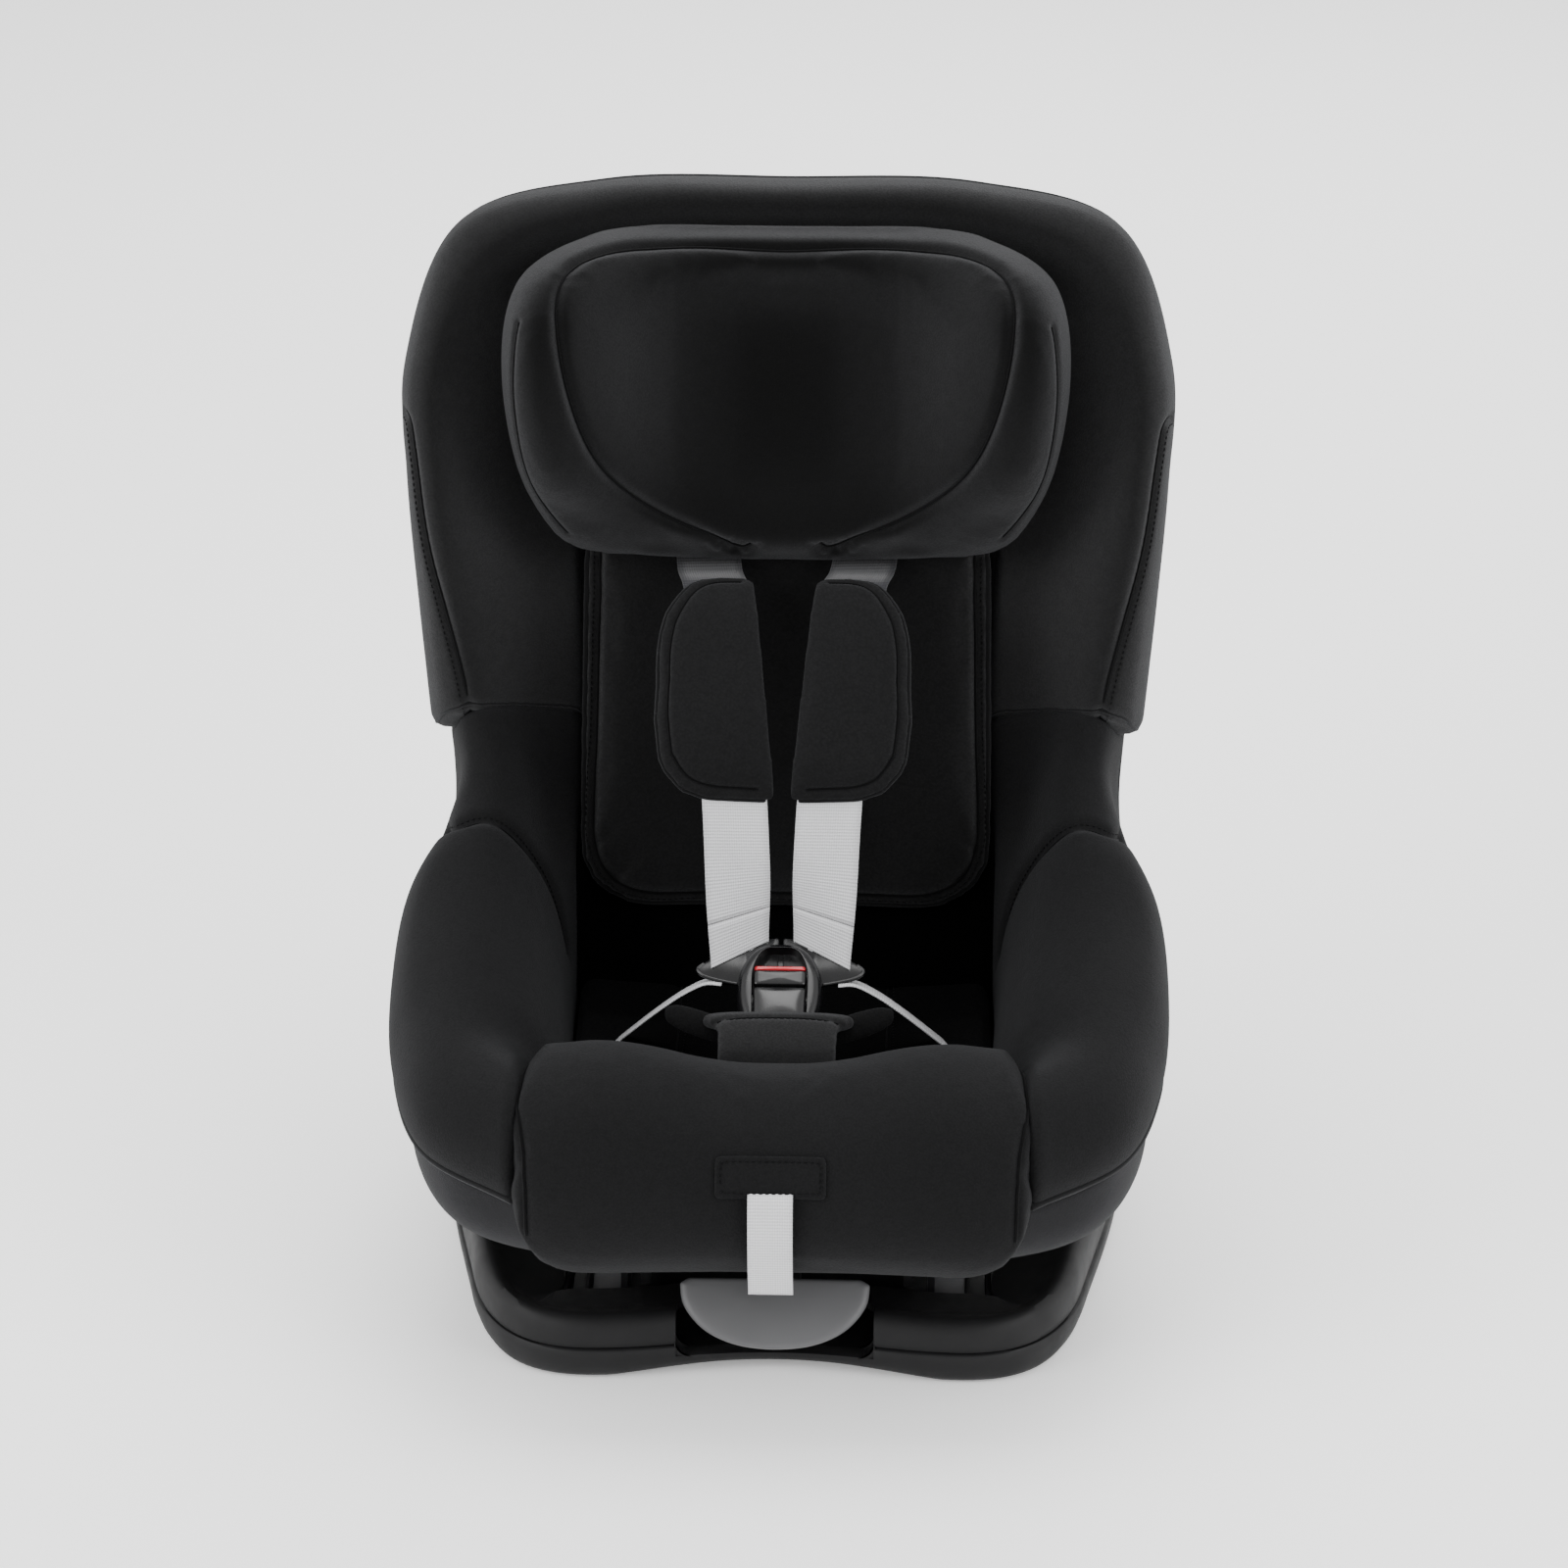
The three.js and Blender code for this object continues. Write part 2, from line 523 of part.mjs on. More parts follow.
function addCarriage() {
  const side = pushX(
    [
      [-152, 36], [-60, 24], [40, 22], [104, 28], [116, 40],
      [112, 58], [60, 54], [-60, 54], [-146, 60], [-154, 50],
    ],
    ...FRAME_X,
  );
  const bores = [boreX(AXLE_Y, AXLE_Z, -120, 120, AXLE_R)];
  const crossbar = (y, z, height) => box(-FRAME_X[1] + 1, FRAME_X[1] - 1, y - 7, y + 7, z, z + height);
  const frame = join(side, mirror(side), crossbar(-20, 34, 14), crossbar(92, 34, 14), crossbar(-100, 43, 10));
  const boltGuide = join(box(-13, 13, BOLT_Y - 13, BOLT_Y + 13, 32, 52), box(-9, 9, -22, BOLT_Y - 12, 42, 48));
  const boltBore = box(-9.4, 9.4, BOLT_Y - 4.4, BOLT_Y + 4.4, 10, 70);
  const handleWay = box(-15.5, 15.5, -160, BOLT_Y - 14, 35.5, 41.5);
  const pins = PIN_ANGLES.map((a) => arcPoint(RAIL_R, a));
  add("carriage_frame", cut(join(frame, boltGuide), boltBore, handleWay, ...bores), MATERIAL.steel);
  ["front", "rear"].forEach((where, i) => {
    const [y, z] = pins[i];
    const sleeve = rodX(y, z, FRAME_X[1] + GAP, RAIL_X[1] + 5, PIN_R, 20);
    const head = rodX(y, z, RAIL_X[1] + 1, RAIL_X[1] + 5, PIN_R + 3, 20);
    addPair("glide_pin_" + where, join(sleeve, head), MATERIAL.rubber);
  });
  add("tilt_axle", rodX(AXLE_Y, AXLE_Z, -84, 84, AXLE_R, 20), MATERIAL.steel);
  const strikerEnd = FRAME_X[0] - GAP;
  add("latch_striker", rodX(LATCH.y - 3, LATCH.z - 26, -strikerEnd, strikerEnd, 4.5, 16), MATERIAL.steel);

  // The hand lever is drawn pulled out, so the bolt is clear of the rack.
  const paddle = new THREE.Shape();
  paddle.moveTo(-55, 0);
  paddle.quadraticCurveTo(-50, -26, -22, -34);
  paddle.quadraticCurveTo(0, -38, 22, -34);
  paddle.quadraticCurveTo(50, -26, 55, 0);
  const lean = new THREE.Matrix4().makeTranslation(0, -186, 56);
  lean.multiply(new THREE.Matrix4().makeRotationX(THREE.MathUtils.degToRad(52)));
  const blade = place(pushZ(paddle, -5, 0, 8), lean);
  const neck = box(-26, 26, -190, -176, 38, 53);
  const tongue = box(-14, 14, -180, BOLT_Y - 29, 36.5, 40.5);
  add("recline_handle", join(blade, neck, tongue), MATERIAL.greyPlastic);
  const tip = RECLINE_Z - Math.sqrt(RACK_R * RACK_R - 33 * 33) + 1.2;
  add("lock_bolt", box(-9, 9, BOLT_Y - 4, BOLT_Y + 4, tip, 58), MATERIAL.steel);
}

// ---------------------------------------------------------------- shell, liner and rear parts

const backUp = v3(0, Math.sin(BACK_ANGLE), Math.cos(BACK_ANGLE)); // along the backrest
const backOut = v3(0, -Math.cos(BACK_ANGLE), Math.sin(BACK_ANGLE)); // out of the backrest, to the front
// A point on the backrest: x, height z on its surface, and distance in front of it.
const onBack = (x, z, out = 0) => v3(x, backY(z), z).addScaledVector(backOut, out);

// A slab parallel to the backrest, between two heights and two distances in front of its surface.
function backSlab(x0, x1, z0, z1, out0, out1) {
  const corner = (x, z, out) => onBack(x, z, out);
  return skin([
    [corner(x0, z0, out0), corner(x0, z1, out0), corner(x0, z1, out1), corner(x0, z0, out1)],
    [corner(x1, z0, out0), corner(x1, z1, out0), corner(x1, z1, out1), corner(x1, z0, out1)],
  ]);
}

function addShell() {
  const slots = [CHANNEL, harnessSlot(1), harnessSlot(-1), FRONT_SLOT, CROTCH_SLOT];
  const lug = (x) => box(x, x + 5, LATCH.y - 7, LATCH.y + 7, LATCH.z - 7, 86);
  const lugBore = boreX(LATCH.y, LATCH.z, -30, 30, 2.5);
  add("seat_shell", cut(join(shellBlank, lug(13), lug(-18)), ...slots, lugBore), MATERIAL.shellPlastic);

  const liner = skin([
    [v3(-114, backY(162) + 3, 162), v3(114, backY(162) + 3, 162), v3(114, 112, 162), v3(-114, 112, 162)],
    [v3(-114, backY(534) + 3, 534), v3(114, backY(534) + 3, 534), v3(114, 190, 534), v3(-114, 190, 534)],
  ]);
  add("foam_liner", cut(liner, shellClear, CHANNEL, harnessSlot(1), harnessSlot(-1)), MATERIAL.foam);

  const cheek = [[-13, 46], [-7, 40], [7, 40], [13, 46], [13, 72], [-13, 72]].map(([y, z]) => [AXLE_Y + y, z]);
  const bracket = join(pushX(cheek, 60, 66), box(48, 66, AXLE_Y - 13, AXLE_Y + 13, 70.5, 74.5));
  addPair("hinge_bracket", cut(bracket, boreX(AXLE_Y, AXLE_Z, 40, 80, AXLE_R)), MATERIAL.steel);

  // Rear moulding over the harness's path, with feet on the shell.
  const rearY = (z) => 118 + (z - 170) * 0.2;
  const panel = pushX(
    [[rearY(150) + 18, 150], [rearY(340) + 24, 340], [rearY(340) + 27, 340], [rearY(150) + 21, 150]],
    -92, 92,
  );
  const foot = pushX([[90, 150], [rearY(150) + 19, 150], [rearY(340) + 25, 340], [122, 340]], 88, 92);
  add("rear_cover", cut(join(panel, foot, mirror(foot)), shellClear), MATERIAL.plastic);

  // Guide of the headrest's slider, on the back of the shell: two rails,
  // one with a hole for each locked height.
  const rails = [1, -1].map((s) => backSlab(s * 23.8 - 3.6, s * 23.8 + 3.6, 404, 586, -68, -59.4));
  const bridge = backSlab(-27.4, 27.4, 396, 404.5, -68, -59.4);
  const heights = Math.round((HEADREST_DROP + HEADREST_RISE) / HEADREST_PITCH) + 1;
  const holes = Array.from({ length: heights }, (_, i) => {
    const z = SLIDER_Z + (i * HEADREST_PITCH - HEADREST_DROP) * Math.cos(BACK_ANGLE);
    return backSlab(19, 26, z - 5, z + 5, -66.5, -61);
  });
  add("headrest_guide", cut(join(bridge, ...rails), ...holes), MATERIAL.plastic);
}

// ---------------------------------------------------------------- padding

function addPadding() {
  const upper = [...RIM.slice(WAIST), ...RIM.slice(WAIST, -1).reverse().map(mirrored)];
  add("backrest_cover", cut(skin(refine(upper, 2)), shellClear, CHANNEL), MATERIAL.fabric);
  const lower = refine(RIM.slice(0, WAIST + 1), 2);
  lower[lower.length - 1] = lower.at(-1).map((p) => p.clone().add(v3(0, -0.4, -1.2)));
  addPair("side_cover", cut(skin(lower), shellClear), MATERIAL.sideFabric);

  // Seat cushion, from the crease at the back to behind the knee roll.
  const cushion = pushX(
    [[-150, 86], [48, 86], [60, 118], [backY(158) - 2, 158], [-20, 140], [-90, 142], [-130, 150], [-150, 158]],
    -122, 122,
  );
  const strapChannel = box(-15, 15, -160, 100, 80, 92);
  add("seat_cushion", cut(cushion, shellClear, CROTCH_SLOT, strapChannel), MATERIAL.softFabric);

  // Knee roll, over the shell's front lip.
  const roll = new THREE.Shape();
  roll.moveTo(-156, 100);
  roll.lineTo(-156, 172);
  roll.quadraticCurveTo(-162, 196, -196, 200);
  roll.quadraticCurveTo(-248, 204, -266, 172);
  roll.quadraticCurveTo(-278, 138, -262, 106);
  roll.quadraticCurveTo(-254, 93, -238, 93);
  roll.lineTo(-230, 110);
  roll.lineTo(-180, 104);
  const plan = [[-137, -300], [137, -300], [137, -196], [130, -150], [-130, -150], [-137, -196]];
  const front = new THREE.Shape();
  front.moveTo(-137, 220);
  front.lineTo(-137, 150);
  front.quadraticCurveTo(-134, 104, -92, 96);
  front.lineTo(92, 96);
  front.quadraticCurveTo(134, 104, 137, 150);
  front.lineTo(137, 220);
  const upright = new THREE.Matrix4().makeBasis(v3(1, 0, 0), v3(0, 0, 1), v3(0, -1, 0));
  const frontBlank = place(pushZ(front, -20, 300, 5), upright);
  const rollSolid = pushX(roll, -140, 140, 5).intersect(pushZ(plan, 50, 250)).intersect(frontBlank);
  const strapWay = strap(ADJUSTER_PATH, ADJUST_W + 3, 7);
  add("front_roll", cut(rollSolid, shellClear, ADJUSTER_SPACE, strapWay), MATERIAL.fabric);

  // Loose comfort pad on the backrest.
  const pad = padRings(126, 36, 196, 424, 5, 18);
  const notch = (side) => box(side * 48 - 22, side * 48 + 22, 20, 120, 396, 460);
  add("back_pad", cut(skin(pad), notch(1), notch(-1)), MATERIAL.softFabric);
}

// Rings of a pad with rounded corners that lies on the backrest.
function padRings(half, corner, z0, z1, out0, out1) {
  const shape = new THREE.Shape();
  shape.moveTo(-half + corner, z0);
  shape.lineTo(half - corner, z0);
  shape.quadraticCurveTo(half, z0, half, z0 + corner);
  shape.lineTo(half - 4, z1);
  shape.lineTo(-half + 4, z1);
  shape.lineTo(-half, z0 + corner);
  shape.quadraticCurveTo(-half, z0, -half + corner, z0);
  const loop = shape.getPoints(5).slice(0, -1);
  const middle = (z0 + z1) / 2;
  const shrink = (out, k) => loop.map((p) => onBack(p.x * k, middle + (p.y - middle) * k, out));
  return [shrink(out0, 1), shrink((out0 + out1) / 2, 1), shrink(out1, 0.93)];
}

// ---------------------------------------------------------------- harness

const ADJUSTER_SPACE = box(-24, 24, -246, -176, 118, 160);
// The adjuster webbing runs from the yoke through the back, under the cushion, and out of the knee roll.
const ADJUSTER_PATH = [
  [138, 246], [126, 180], [110, 140], [84, 124], [70, 102], [52, 87], [-60, 85], [-142, 85], [-166, 104],
  [-174, 124], [-188, 131], [-236, 138], [-262, 166], [-277, 162], [-280, 138], [-271, 112], [-262, 98],
].map(([y, z]) => v3(0, y, z));
const BUCKLE = { y: -88, z: 192, angle: THREE.MathUtils.degToRad(35), half: 20, length: 31, thick: 9 };
// In the buckle's frame +Y runs up the buckle and +Z out of its face.
const buckleFrame = new THREE.Matrix4()
  .makeTranslation(0, BUCKLE.y, BUCKLE.z)
  .multiply(new THREE.Matrix4().makeRotationX(BUCKLE.angle));
const atBuckle = (x, y, z) => v3(x, y, z).applyMatrix4(buckleFrame);
const buckleBox = (x0, x1, y0, y1, z0, z1) => place(box(x0, x1, y0, y1, z0, z1), buckleFrame);

function addHarness() {
  const { half, length, thick } = BUCKLE;
  const outline = new THREE.Shape();
  outline.moveTo(-half + 4, -length);
  outline.lineTo(half - 4, -length);
  outline.quadraticCurveTo(half, -length, half, -length + 8);
  outline.lineTo(half, length - 18);
  outline.quadraticCurveTo(half, length, half - 16, length);
  outline.lineTo(-half + 16, length);
  outline.quadraticCurveTo(-half, length, -half, length - 18);
  outline.lineTo(-half, -length + 8);
  outline.quadraticCurveTo(-half, -length, -half + 4, -length);
  const body = place(pushZ(outline, -thick, thick, 4), buckleFrame);
  const window = buckleBox(-12.5, 12.5, 1, length - 5, 0.9, thick + 2);
  const bladeWay = buckleBox(-17, 17, -4, length + 2, -4.2, 1.2);
  add("buckle_housing", cut(body, window, bladeWay), MATERIAL.glossPlastic);
  add("buckle_button", buckleBox(-12, 12, 6, length - 8, 3.5, thick - 1), MATERIAL.red);

  // Each latch plate has a blade in the buckle and a slotted wing that the webbing turns through.
  const wing = new THREE.Shape();
  wing.moveTo(1, 0);
  wing.lineTo(16, 0);
  wing.lineTo(16, length + 1);
  wing.lineTo(22.5, length + 1);
  wing.lineTo(24, 17);
  wing.quadraticCurveTo(38, 8, 47, 11);
  wing.quadraticCurveTo(52, 17, 43, 26);
  wing.quadraticCurveTo(22, 42, 1, 41);
  const slot = [[27, 23], [28.5, 27.5], [42, 18.5], [40, 15]].map(([x, y]) => new THREE.Vector2(x, y));
  wing.holes.push(new THREE.Path(slot));
  const tongue = place(pushZ(wing, -3.2, 0.2, 5), buckleFrame);
  addPair("tongue", tongue, MATERIAL.glossPlastic);

  // Shoulder webbing: latch plate, shoulder pad, slot in the backrest, then down the back to the yoke.
  const path = shoulderPath();
  addPair("shoulder_strap", strap(path, WEB_W, WEB_T, v3(1, 0, 0), 2), MATERIAL.webbing);
  const yoke = [[-52, 288], [52, 288], [52, 278], [18, 262], [18, 250], [-18, 250], [-18, 262], [-52, 278]];
  const yokePlate = place(pushZ(yoke, -142, -139.5), new THREE.Matrix4().makeRotationX(Math.PI / 2));
  add("harness_yoke", yokePlate, MATERIAL.steel);

  // Lap webbing: from the latch plate back and down to the hip.
  const lapPath = [v3(52.5, -76, 194), v3(70, -70, 179), v3(92, -62, 157), v3(108, -56, 150)];
  addPair("lap_strap", strap(lapPath, LAP_W, WEB_T, v3(0, 0.93, -0.37), 2), MATERIAL.webbing);

  const crotchPath = [v3(0, -151.5, 94), v3(0, -151.5, 150), v3(0, -136, 166), atBuckle(0, -length - 1, 0)];
  add("crotch_strap", strap(crotchPath, WEB_W, WEB_T + 1), MATERIAL.darkWebbing);

  // Crotch pad: a stem from behind the knee roll that spreads into a wing over the buckle's foot.
  const padRow = (half, y, z, thickness) => [
    v3(-half, y, z),
    v3(half, y, z),
    v3(half * 0.96, y - 1, z + thickness),
    v3(-half * 0.96, y - 1, z + thickness),
  ];
  const crotchPad = skin([
    padRow(35, -150, 170, 9),
    padRow(34, -140, 180, 9),
    padRow(52, -126, 182, 9),
    padRow(62, -112, 180, 10),
    padRow(52, -100, 182, 8),
  ]);
  const roomForBuckle = buckleBox(-21, 21, -34, 40, -12, 9.8);
  const roomForStrap = box(-22, 22, -160, -130, 150, 176);
  add("crotch_pad", cut(crotchPad, roomForBuckle, roomForStrap), MATERIAL.softFabric);

  // Webbing adjuster in the knee roll, its press lever under the flap, and its pull strap.
  const cradle = cut(box(-20, 20, -240, -182, 120, 156), box(-15, 15, -250, -170, 126, 170));
  add("adjuster_body", cradle, MATERIAL.steel);
  const lever = pushX([[-236, 148], [-200, 142], [-200, 149], [-234, 157]], -13, 13);
  add("adjuster_lever", lever, MATERIAL.plastic);
  add("adjuster_strap", strap(ADJUSTER_PATH, ADJUST_W, WEB_T, v3(1, 0, 0), 2), MATERIAL.webbing);
  const flap = strap([v3(0, -273, 187), v3(0, -281, 176), v3(0, -283, 166)], 60, 2.4);
  add("adjuster_flap", flap, MATERIAL.fabric);
}

function shoulderPath() {
  const x = HARNESS_X;
  const front = [
    atBuckle(21, 34.5, 1.8), v3(26, -44, 286), v3(33, -12, 360), v3(40, 18, 404), v3(45, 48, 405),
  ];
  const rear = [v3(x, 100, 414), v3(x, 162, 428), v3(x, 170, 416), v3(44, 148, 330), v3(36, 137, 286)];
  return [...front, ...rear];
}

// ---------------------------------------------------------------- headrest

function addHeadrest() {
  // Sections from the bottom to the top: half width, forward reach of the wings, depth of the hollow.
  const rows = [
    [100, 410, 34, 26],
    [118, 428, 52, 28],
    [142, 465, 76, 30],
    [160, 510, 92, 32],
    [165, 548, 92, 34],
    [151, 573, 76, 36],
    [116, 587, 54, 36],
  ].map(([half, z, reach, hollow]) => {
    const rear = [[0.3, 0], [0.75, 2], [0.97, 12]];
    const wing = [[1, reach * 0.55], [0.93, reach * 0.92], [0.82, reach], [0.68, reach * 0.86]];
    const bowl = [[0.45, hollow * 1.15], [0.2, hollow]];
    const side = [...rear, ...wing, ...bowl].map(([share, out]) => onBack(half * share, z, 32 + out));
    return [...side, ...mirrored(side).reverse()];
  });
  add("headrest_pad", skin(refine(rows, 2)), MATERIAL.fabric);
  const plate = backSlab(-95, 95, 432, 574, 25, 31.5);
  const stem = backSlab(-17, 17, SLIDER_Z - 20, SLIDER_Z + 20, -58, 26);
  const z = SLIDER_Z;
  const runner = backSlab(-19.8, 19.8, z - 36, z + 36, -68.4, -59.4);
  const block = join(stem, runner, backSlab(-12, 12, z - 14, z + 14, -62, -50));
  const boltHole = backSlab(3, 20, z - 5.4, z + 5.4, -67, -60.6);
  add("headrest_shell", cut(join(plate, block), boltHole), MATERIAL.shellPlastic);
  add("headrest_bolt", backSlab(5, 19.4, z - 4.4, z + 4.4, -65.9, -61.6), MATERIAL.steel);
  const flange = backSlab(-27, 27, z - 34, z + 20, -73, -68.8);
  add("headrest_slider", flange, MATERIAL.plastic);
  add("headrest_release", backSlab(-27, 27, z + 28, z + 42, -76, -68.8), MATERIAL.greyPlastic);

  // Shoulder pads: a sleeve round the webbing, straight on the inside and rounded on the outside.
  const path = new THREE.CatmullRomCurve3(shoulderPath(), false, "centripetal");
  const widths = [
    [0.128, 21, 32], [0.16, 21, 40], [0.22, 21, 44], [0.28, 21, 44], [0.33, 21, 40], [0.362, 21, 28],
  ];
  const sections = widths.map(([t, inner, outer]) => {
    const p = path.getPoint(t);
    const up = path.getTangent(t).cross(v3(1, 0, 0)).normalize();
    const lift = (x, k) => v3(p.x + x, p.y, p.z).addScaledVector(up, k);
    const front = [lift(-inner, -5), lift(-inner, 5), lift(0, 8), lift(outer * 0.8, 6)];
    return [...front, lift(outer, 0), lift(outer * 0.8, -7), lift(0, -8)];
  });
  const webbingHole = strap(shoulderPath(), WEB_W + 1.5, WEB_T + 1.2, v3(1, 0, 0), 2);
  const sleeve = cut(skin(refine(sections, 2)), webbingHole);
  addPair("shoulder_pad", sleeve, MATERIAL.softFabric);
}

// ---------------------------------------------------------------- tilt latch

function addTiltLatch() {
  // Drawn swung open, clear of the striker. The outline is the closed hook, about its pivot.
  const open = THREE.MathUtils.degToRad(20);
  const closed = [
    [-5, 5], [5, 5], [9, -10], [9, -34], [6, -37], [-6, -36], [-6, -32.5], [3, -32.5], [3, -12], [-5, -4],
  ];
  const hook = closed.map(([y, z]) => [
    LATCH.y + y * Math.cos(open) - z * Math.sin(open),
    LATCH.z + y * Math.sin(open) + z * Math.cos(open),
  ]);
  add("tilt_latch", cut(pushX(hook, -12, 12), boreX(LATCH.y, LATCH.z, -20, 20, 2.5)), MATERIAL.steel);
  add("latch_pin", rodX(LATCH.y, LATCH.z, -19, 19, 2.5, 12), MATERIAL.steel);
}

addBase();
addBeltClamps();
addCarriage();
addShell();
addPadding();
addHarness();
addHeadrest();
addTiltLatch();

export default seat;
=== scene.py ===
"""Looks of a convertible car seat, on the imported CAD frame. Lengths are in mm until a mesh is made."""
import math

import bmesh
import bpy
import numpy as np
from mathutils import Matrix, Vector
from mathutils.bvhtree import BVHTree


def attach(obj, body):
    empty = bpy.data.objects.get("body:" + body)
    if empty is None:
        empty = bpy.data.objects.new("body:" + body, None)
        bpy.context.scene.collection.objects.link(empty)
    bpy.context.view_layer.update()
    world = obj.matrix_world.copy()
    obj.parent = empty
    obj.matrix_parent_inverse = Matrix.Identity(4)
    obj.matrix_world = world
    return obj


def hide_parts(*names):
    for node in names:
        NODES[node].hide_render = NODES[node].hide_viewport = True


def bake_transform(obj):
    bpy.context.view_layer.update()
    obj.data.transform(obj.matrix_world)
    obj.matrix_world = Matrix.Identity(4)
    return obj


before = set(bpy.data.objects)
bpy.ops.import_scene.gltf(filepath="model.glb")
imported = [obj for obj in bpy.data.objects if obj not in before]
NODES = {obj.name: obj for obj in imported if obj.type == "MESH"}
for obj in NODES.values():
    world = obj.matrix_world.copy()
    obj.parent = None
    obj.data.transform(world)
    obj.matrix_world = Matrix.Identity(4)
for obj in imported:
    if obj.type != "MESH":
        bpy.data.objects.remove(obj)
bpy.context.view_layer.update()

MM = 0.001
TURN = 2 * math.pi
SIDES = ((1, "right"), (-1, "left"))  # the sign of x, and the name of the side

# ---------------------------------------------------------------- shared dimensions

BACK_ANGLE = math.radians(15)
BACK_Y, BACK_Z = 60.0, 306.0
OUT = np.array([0.0, -math.cos(BACK_ANGLE), math.sin(BACK_ANGLE)])  # out of the backrest, to the front
CAMERA_TARGET = np.array([0.0, 0.0, 288.0])
CAMERA_DISTANCE = 3000.0
CAMERA_PIXELS = 1.73  # per mm at the target
FRAME_PIXELS = 1600
SENSOR = 36.0
CAMERA_ELEVATION = math.radians(24)
CAMERA_AZIMUTH = math.radians(1.6)
BACKWARD = np.array([
    math.sin(CAMERA_AZIMUTH) * math.cos(CAMERA_ELEVATION),
    -math.cos(CAMERA_AZIMUTH) * math.cos(CAMERA_ELEVATION),
    math.sin(CAMERA_ELEVATION),
])  # from the target to the camera
EYE = CAMERA_TARGET + BACKWARD * CAMERA_DISTANCE

BUCKLE_Y, BUCKLE_Z, BUCKLE_ANGLE = -88.0, 192.0, math.radians(35)


def back_y(z):
    return BACK_Y + (z - BACK_Z) * math.tan(BACK_ANGLE)


def on_back(x, z, out=0.0):
    """A point over the backrest: across, height of its foot on the backrest, and distance out of it."""
    return np.array([x, back_y(z), z]) + OUT * out


def turned(x, y, z, angle, y0, z0):
    """A point in a frame that is tipped about the x axis and then moved."""
    c, s = math.cos(angle), math.sin(angle)
    return np.array([x, y0 + y * c - z * s, z0 + y * s + z * c])


def at_buckle(x, y, z):
    return turned(x, y, z, BUCKLE_ANGLE, BUCKLE_Y, BUCKLE_Z)


def flipped(points, side):
    """Points as they are for the right side, or mirrored for the left."""
    return np.asarray(points, float) * [side, 1, 1]


# ---------------------------------------------------------------- curves and grids


def spline(rows, steps, closed=False):
    """Rows of matching points, made finer along their order by a smooth curve through each column."""
    p = np.asarray(rows, float)
    if closed:
        padded = np.concatenate([p[-1:], p, p[:2]])
    else:
        padded = np.concatenate([2 * p[:1] - p[1:2], p, 2 * p[-1:] - p[-2:-1]])
    out = []
    for i in range(len(padded) - 3):
        a, b, c, d = padded[i : i + 4]
        pairs = ((b, a), (c, b), (d, c))
        s0, s1, s2 = (np.sqrt(np.linalg.norm(q - r, axis=-1, keepdims=True)).clip(1e-4) for q, r in pairs)
        m1 = ((b - a) / s0 - (c - a) / (s0 + s1) + (c - b) / s1) * s1
        m2 = ((c - b) / s1 - (d - b) / (s1 + s2) + (d - c) / s2) * s1
        for t in np.arange(steps) / steps:
            start, leave = 2 * t**3 - 3 * t**2 + 1, t**3 - 2 * t**2 + t
            stop, arrive = 3 * t**2 - 2 * t**3, t**3 - t**2
            out.append(start * b + leave * m1 + stop * c + arrive * m2)
    if not closed:
        out.append(p[-1])
    return np.array(out)


def spline_grid(stations, along, across, closed):
    """A fine grid through rows of points: finer from row to row, then finer round each row."""
    rows = spline(stations, along)
    return np.swapaxes(spline(np.swapaxes(rows, 0, 1), across, closed), 0, 1)


def arc_lengths(points):
    return np.concatenate([[0], np.cumsum(np.linalg.norm(np.diff(points, axis=0), axis=1))])


def looked_up(at, lengths, values):
    """Each column of values, read at distances along a path."""
    return np.stack([np.interp(at, lengths, values[:, k]) for k in range(values.shape[1])], axis=-1)


def unit(vectors):
    return vectors / np.linalg.norm(vectors, axis=-1, keepdims=True).clip(1e-9)


def looped(points, closed):
    return np.vstack([points, points[:1]]) if closed else points


def resample(points, spacing, closed=False):
    """Points along a polyline at an even spacing."""
    p = looped(np.asarray(points, float), closed)
    s = arc_lengths(p)
    count = max(int(round(s[-1] / spacing)), 3)
    out = looked_up(np.linspace(0, s[-1], count + 1), s, p)
    return out[:-1] if closed else out


def smoothstep(a, b, x):
    t = np.clip((x - a) / (b - a), 0, 1)
    return t * t * (3 - 2 * t)


def turns(count):
    return np.linspace(0, TURN, count, endpoint=False)


def squared(values, power):
    """Sines or cosines for an oval with squarer corners."""
    return np.sign(values) * np.abs(values) ** (2 / power)


def averaged(values, passes, closed=False):
    """Values along a path with their small wobbles smoothed out."""
    v = np.array(values, float)
    for _ in range(passes):
        near = (np.roll(v, 1, axis=0) + np.roll(v, -1, axis=0)) / 2
        if not closed:
            near[0], near[-1] = v[0], v[-1]
        v = (v + near) / 2
    return v


# ---------------------------------------------------------------- meshes


def smooth_shading(mesh, smooth=True):
    for polygon in mesh.polygons:
        polygon.use_smooth = smooth


def mesh_object(name, vertices, faces, smooth=True):
    mesh = bpy.data.meshes.new(name)
    mesh.from_pydata([tuple(v) for v in np.asarray(vertices, float) * MM], [], [tuple(f) for f in faces])
    mesh.validate()
    mesh.update()
    bm = bmesh.new()
    bm.from_mesh(mesh)
    bmesh.ops.recalc_face_normals(bm, faces=bm.faces)
    bm.to_mesh(mesh)
    bm.free()
    smooth_shading(mesh, smooth)
    obj = bpy.data.objects.new(name, mesh)
    bpy.context.scene.collection.objects.link(obj)
    return obj


def grid_faces(rows, columns, closed_rows=False, closed_columns=False):
    faces = []
    for i in range(rows if closed_rows else rows - 1):
        for j in range(columns if closed_columns else columns - 1):
            i2, j2 = (i + 1) % rows, (j + 1) % columns
            faces.append((i * columns + j, i * columns + j2, i2 * columns + j2, i2 * columns + j))
    return faces


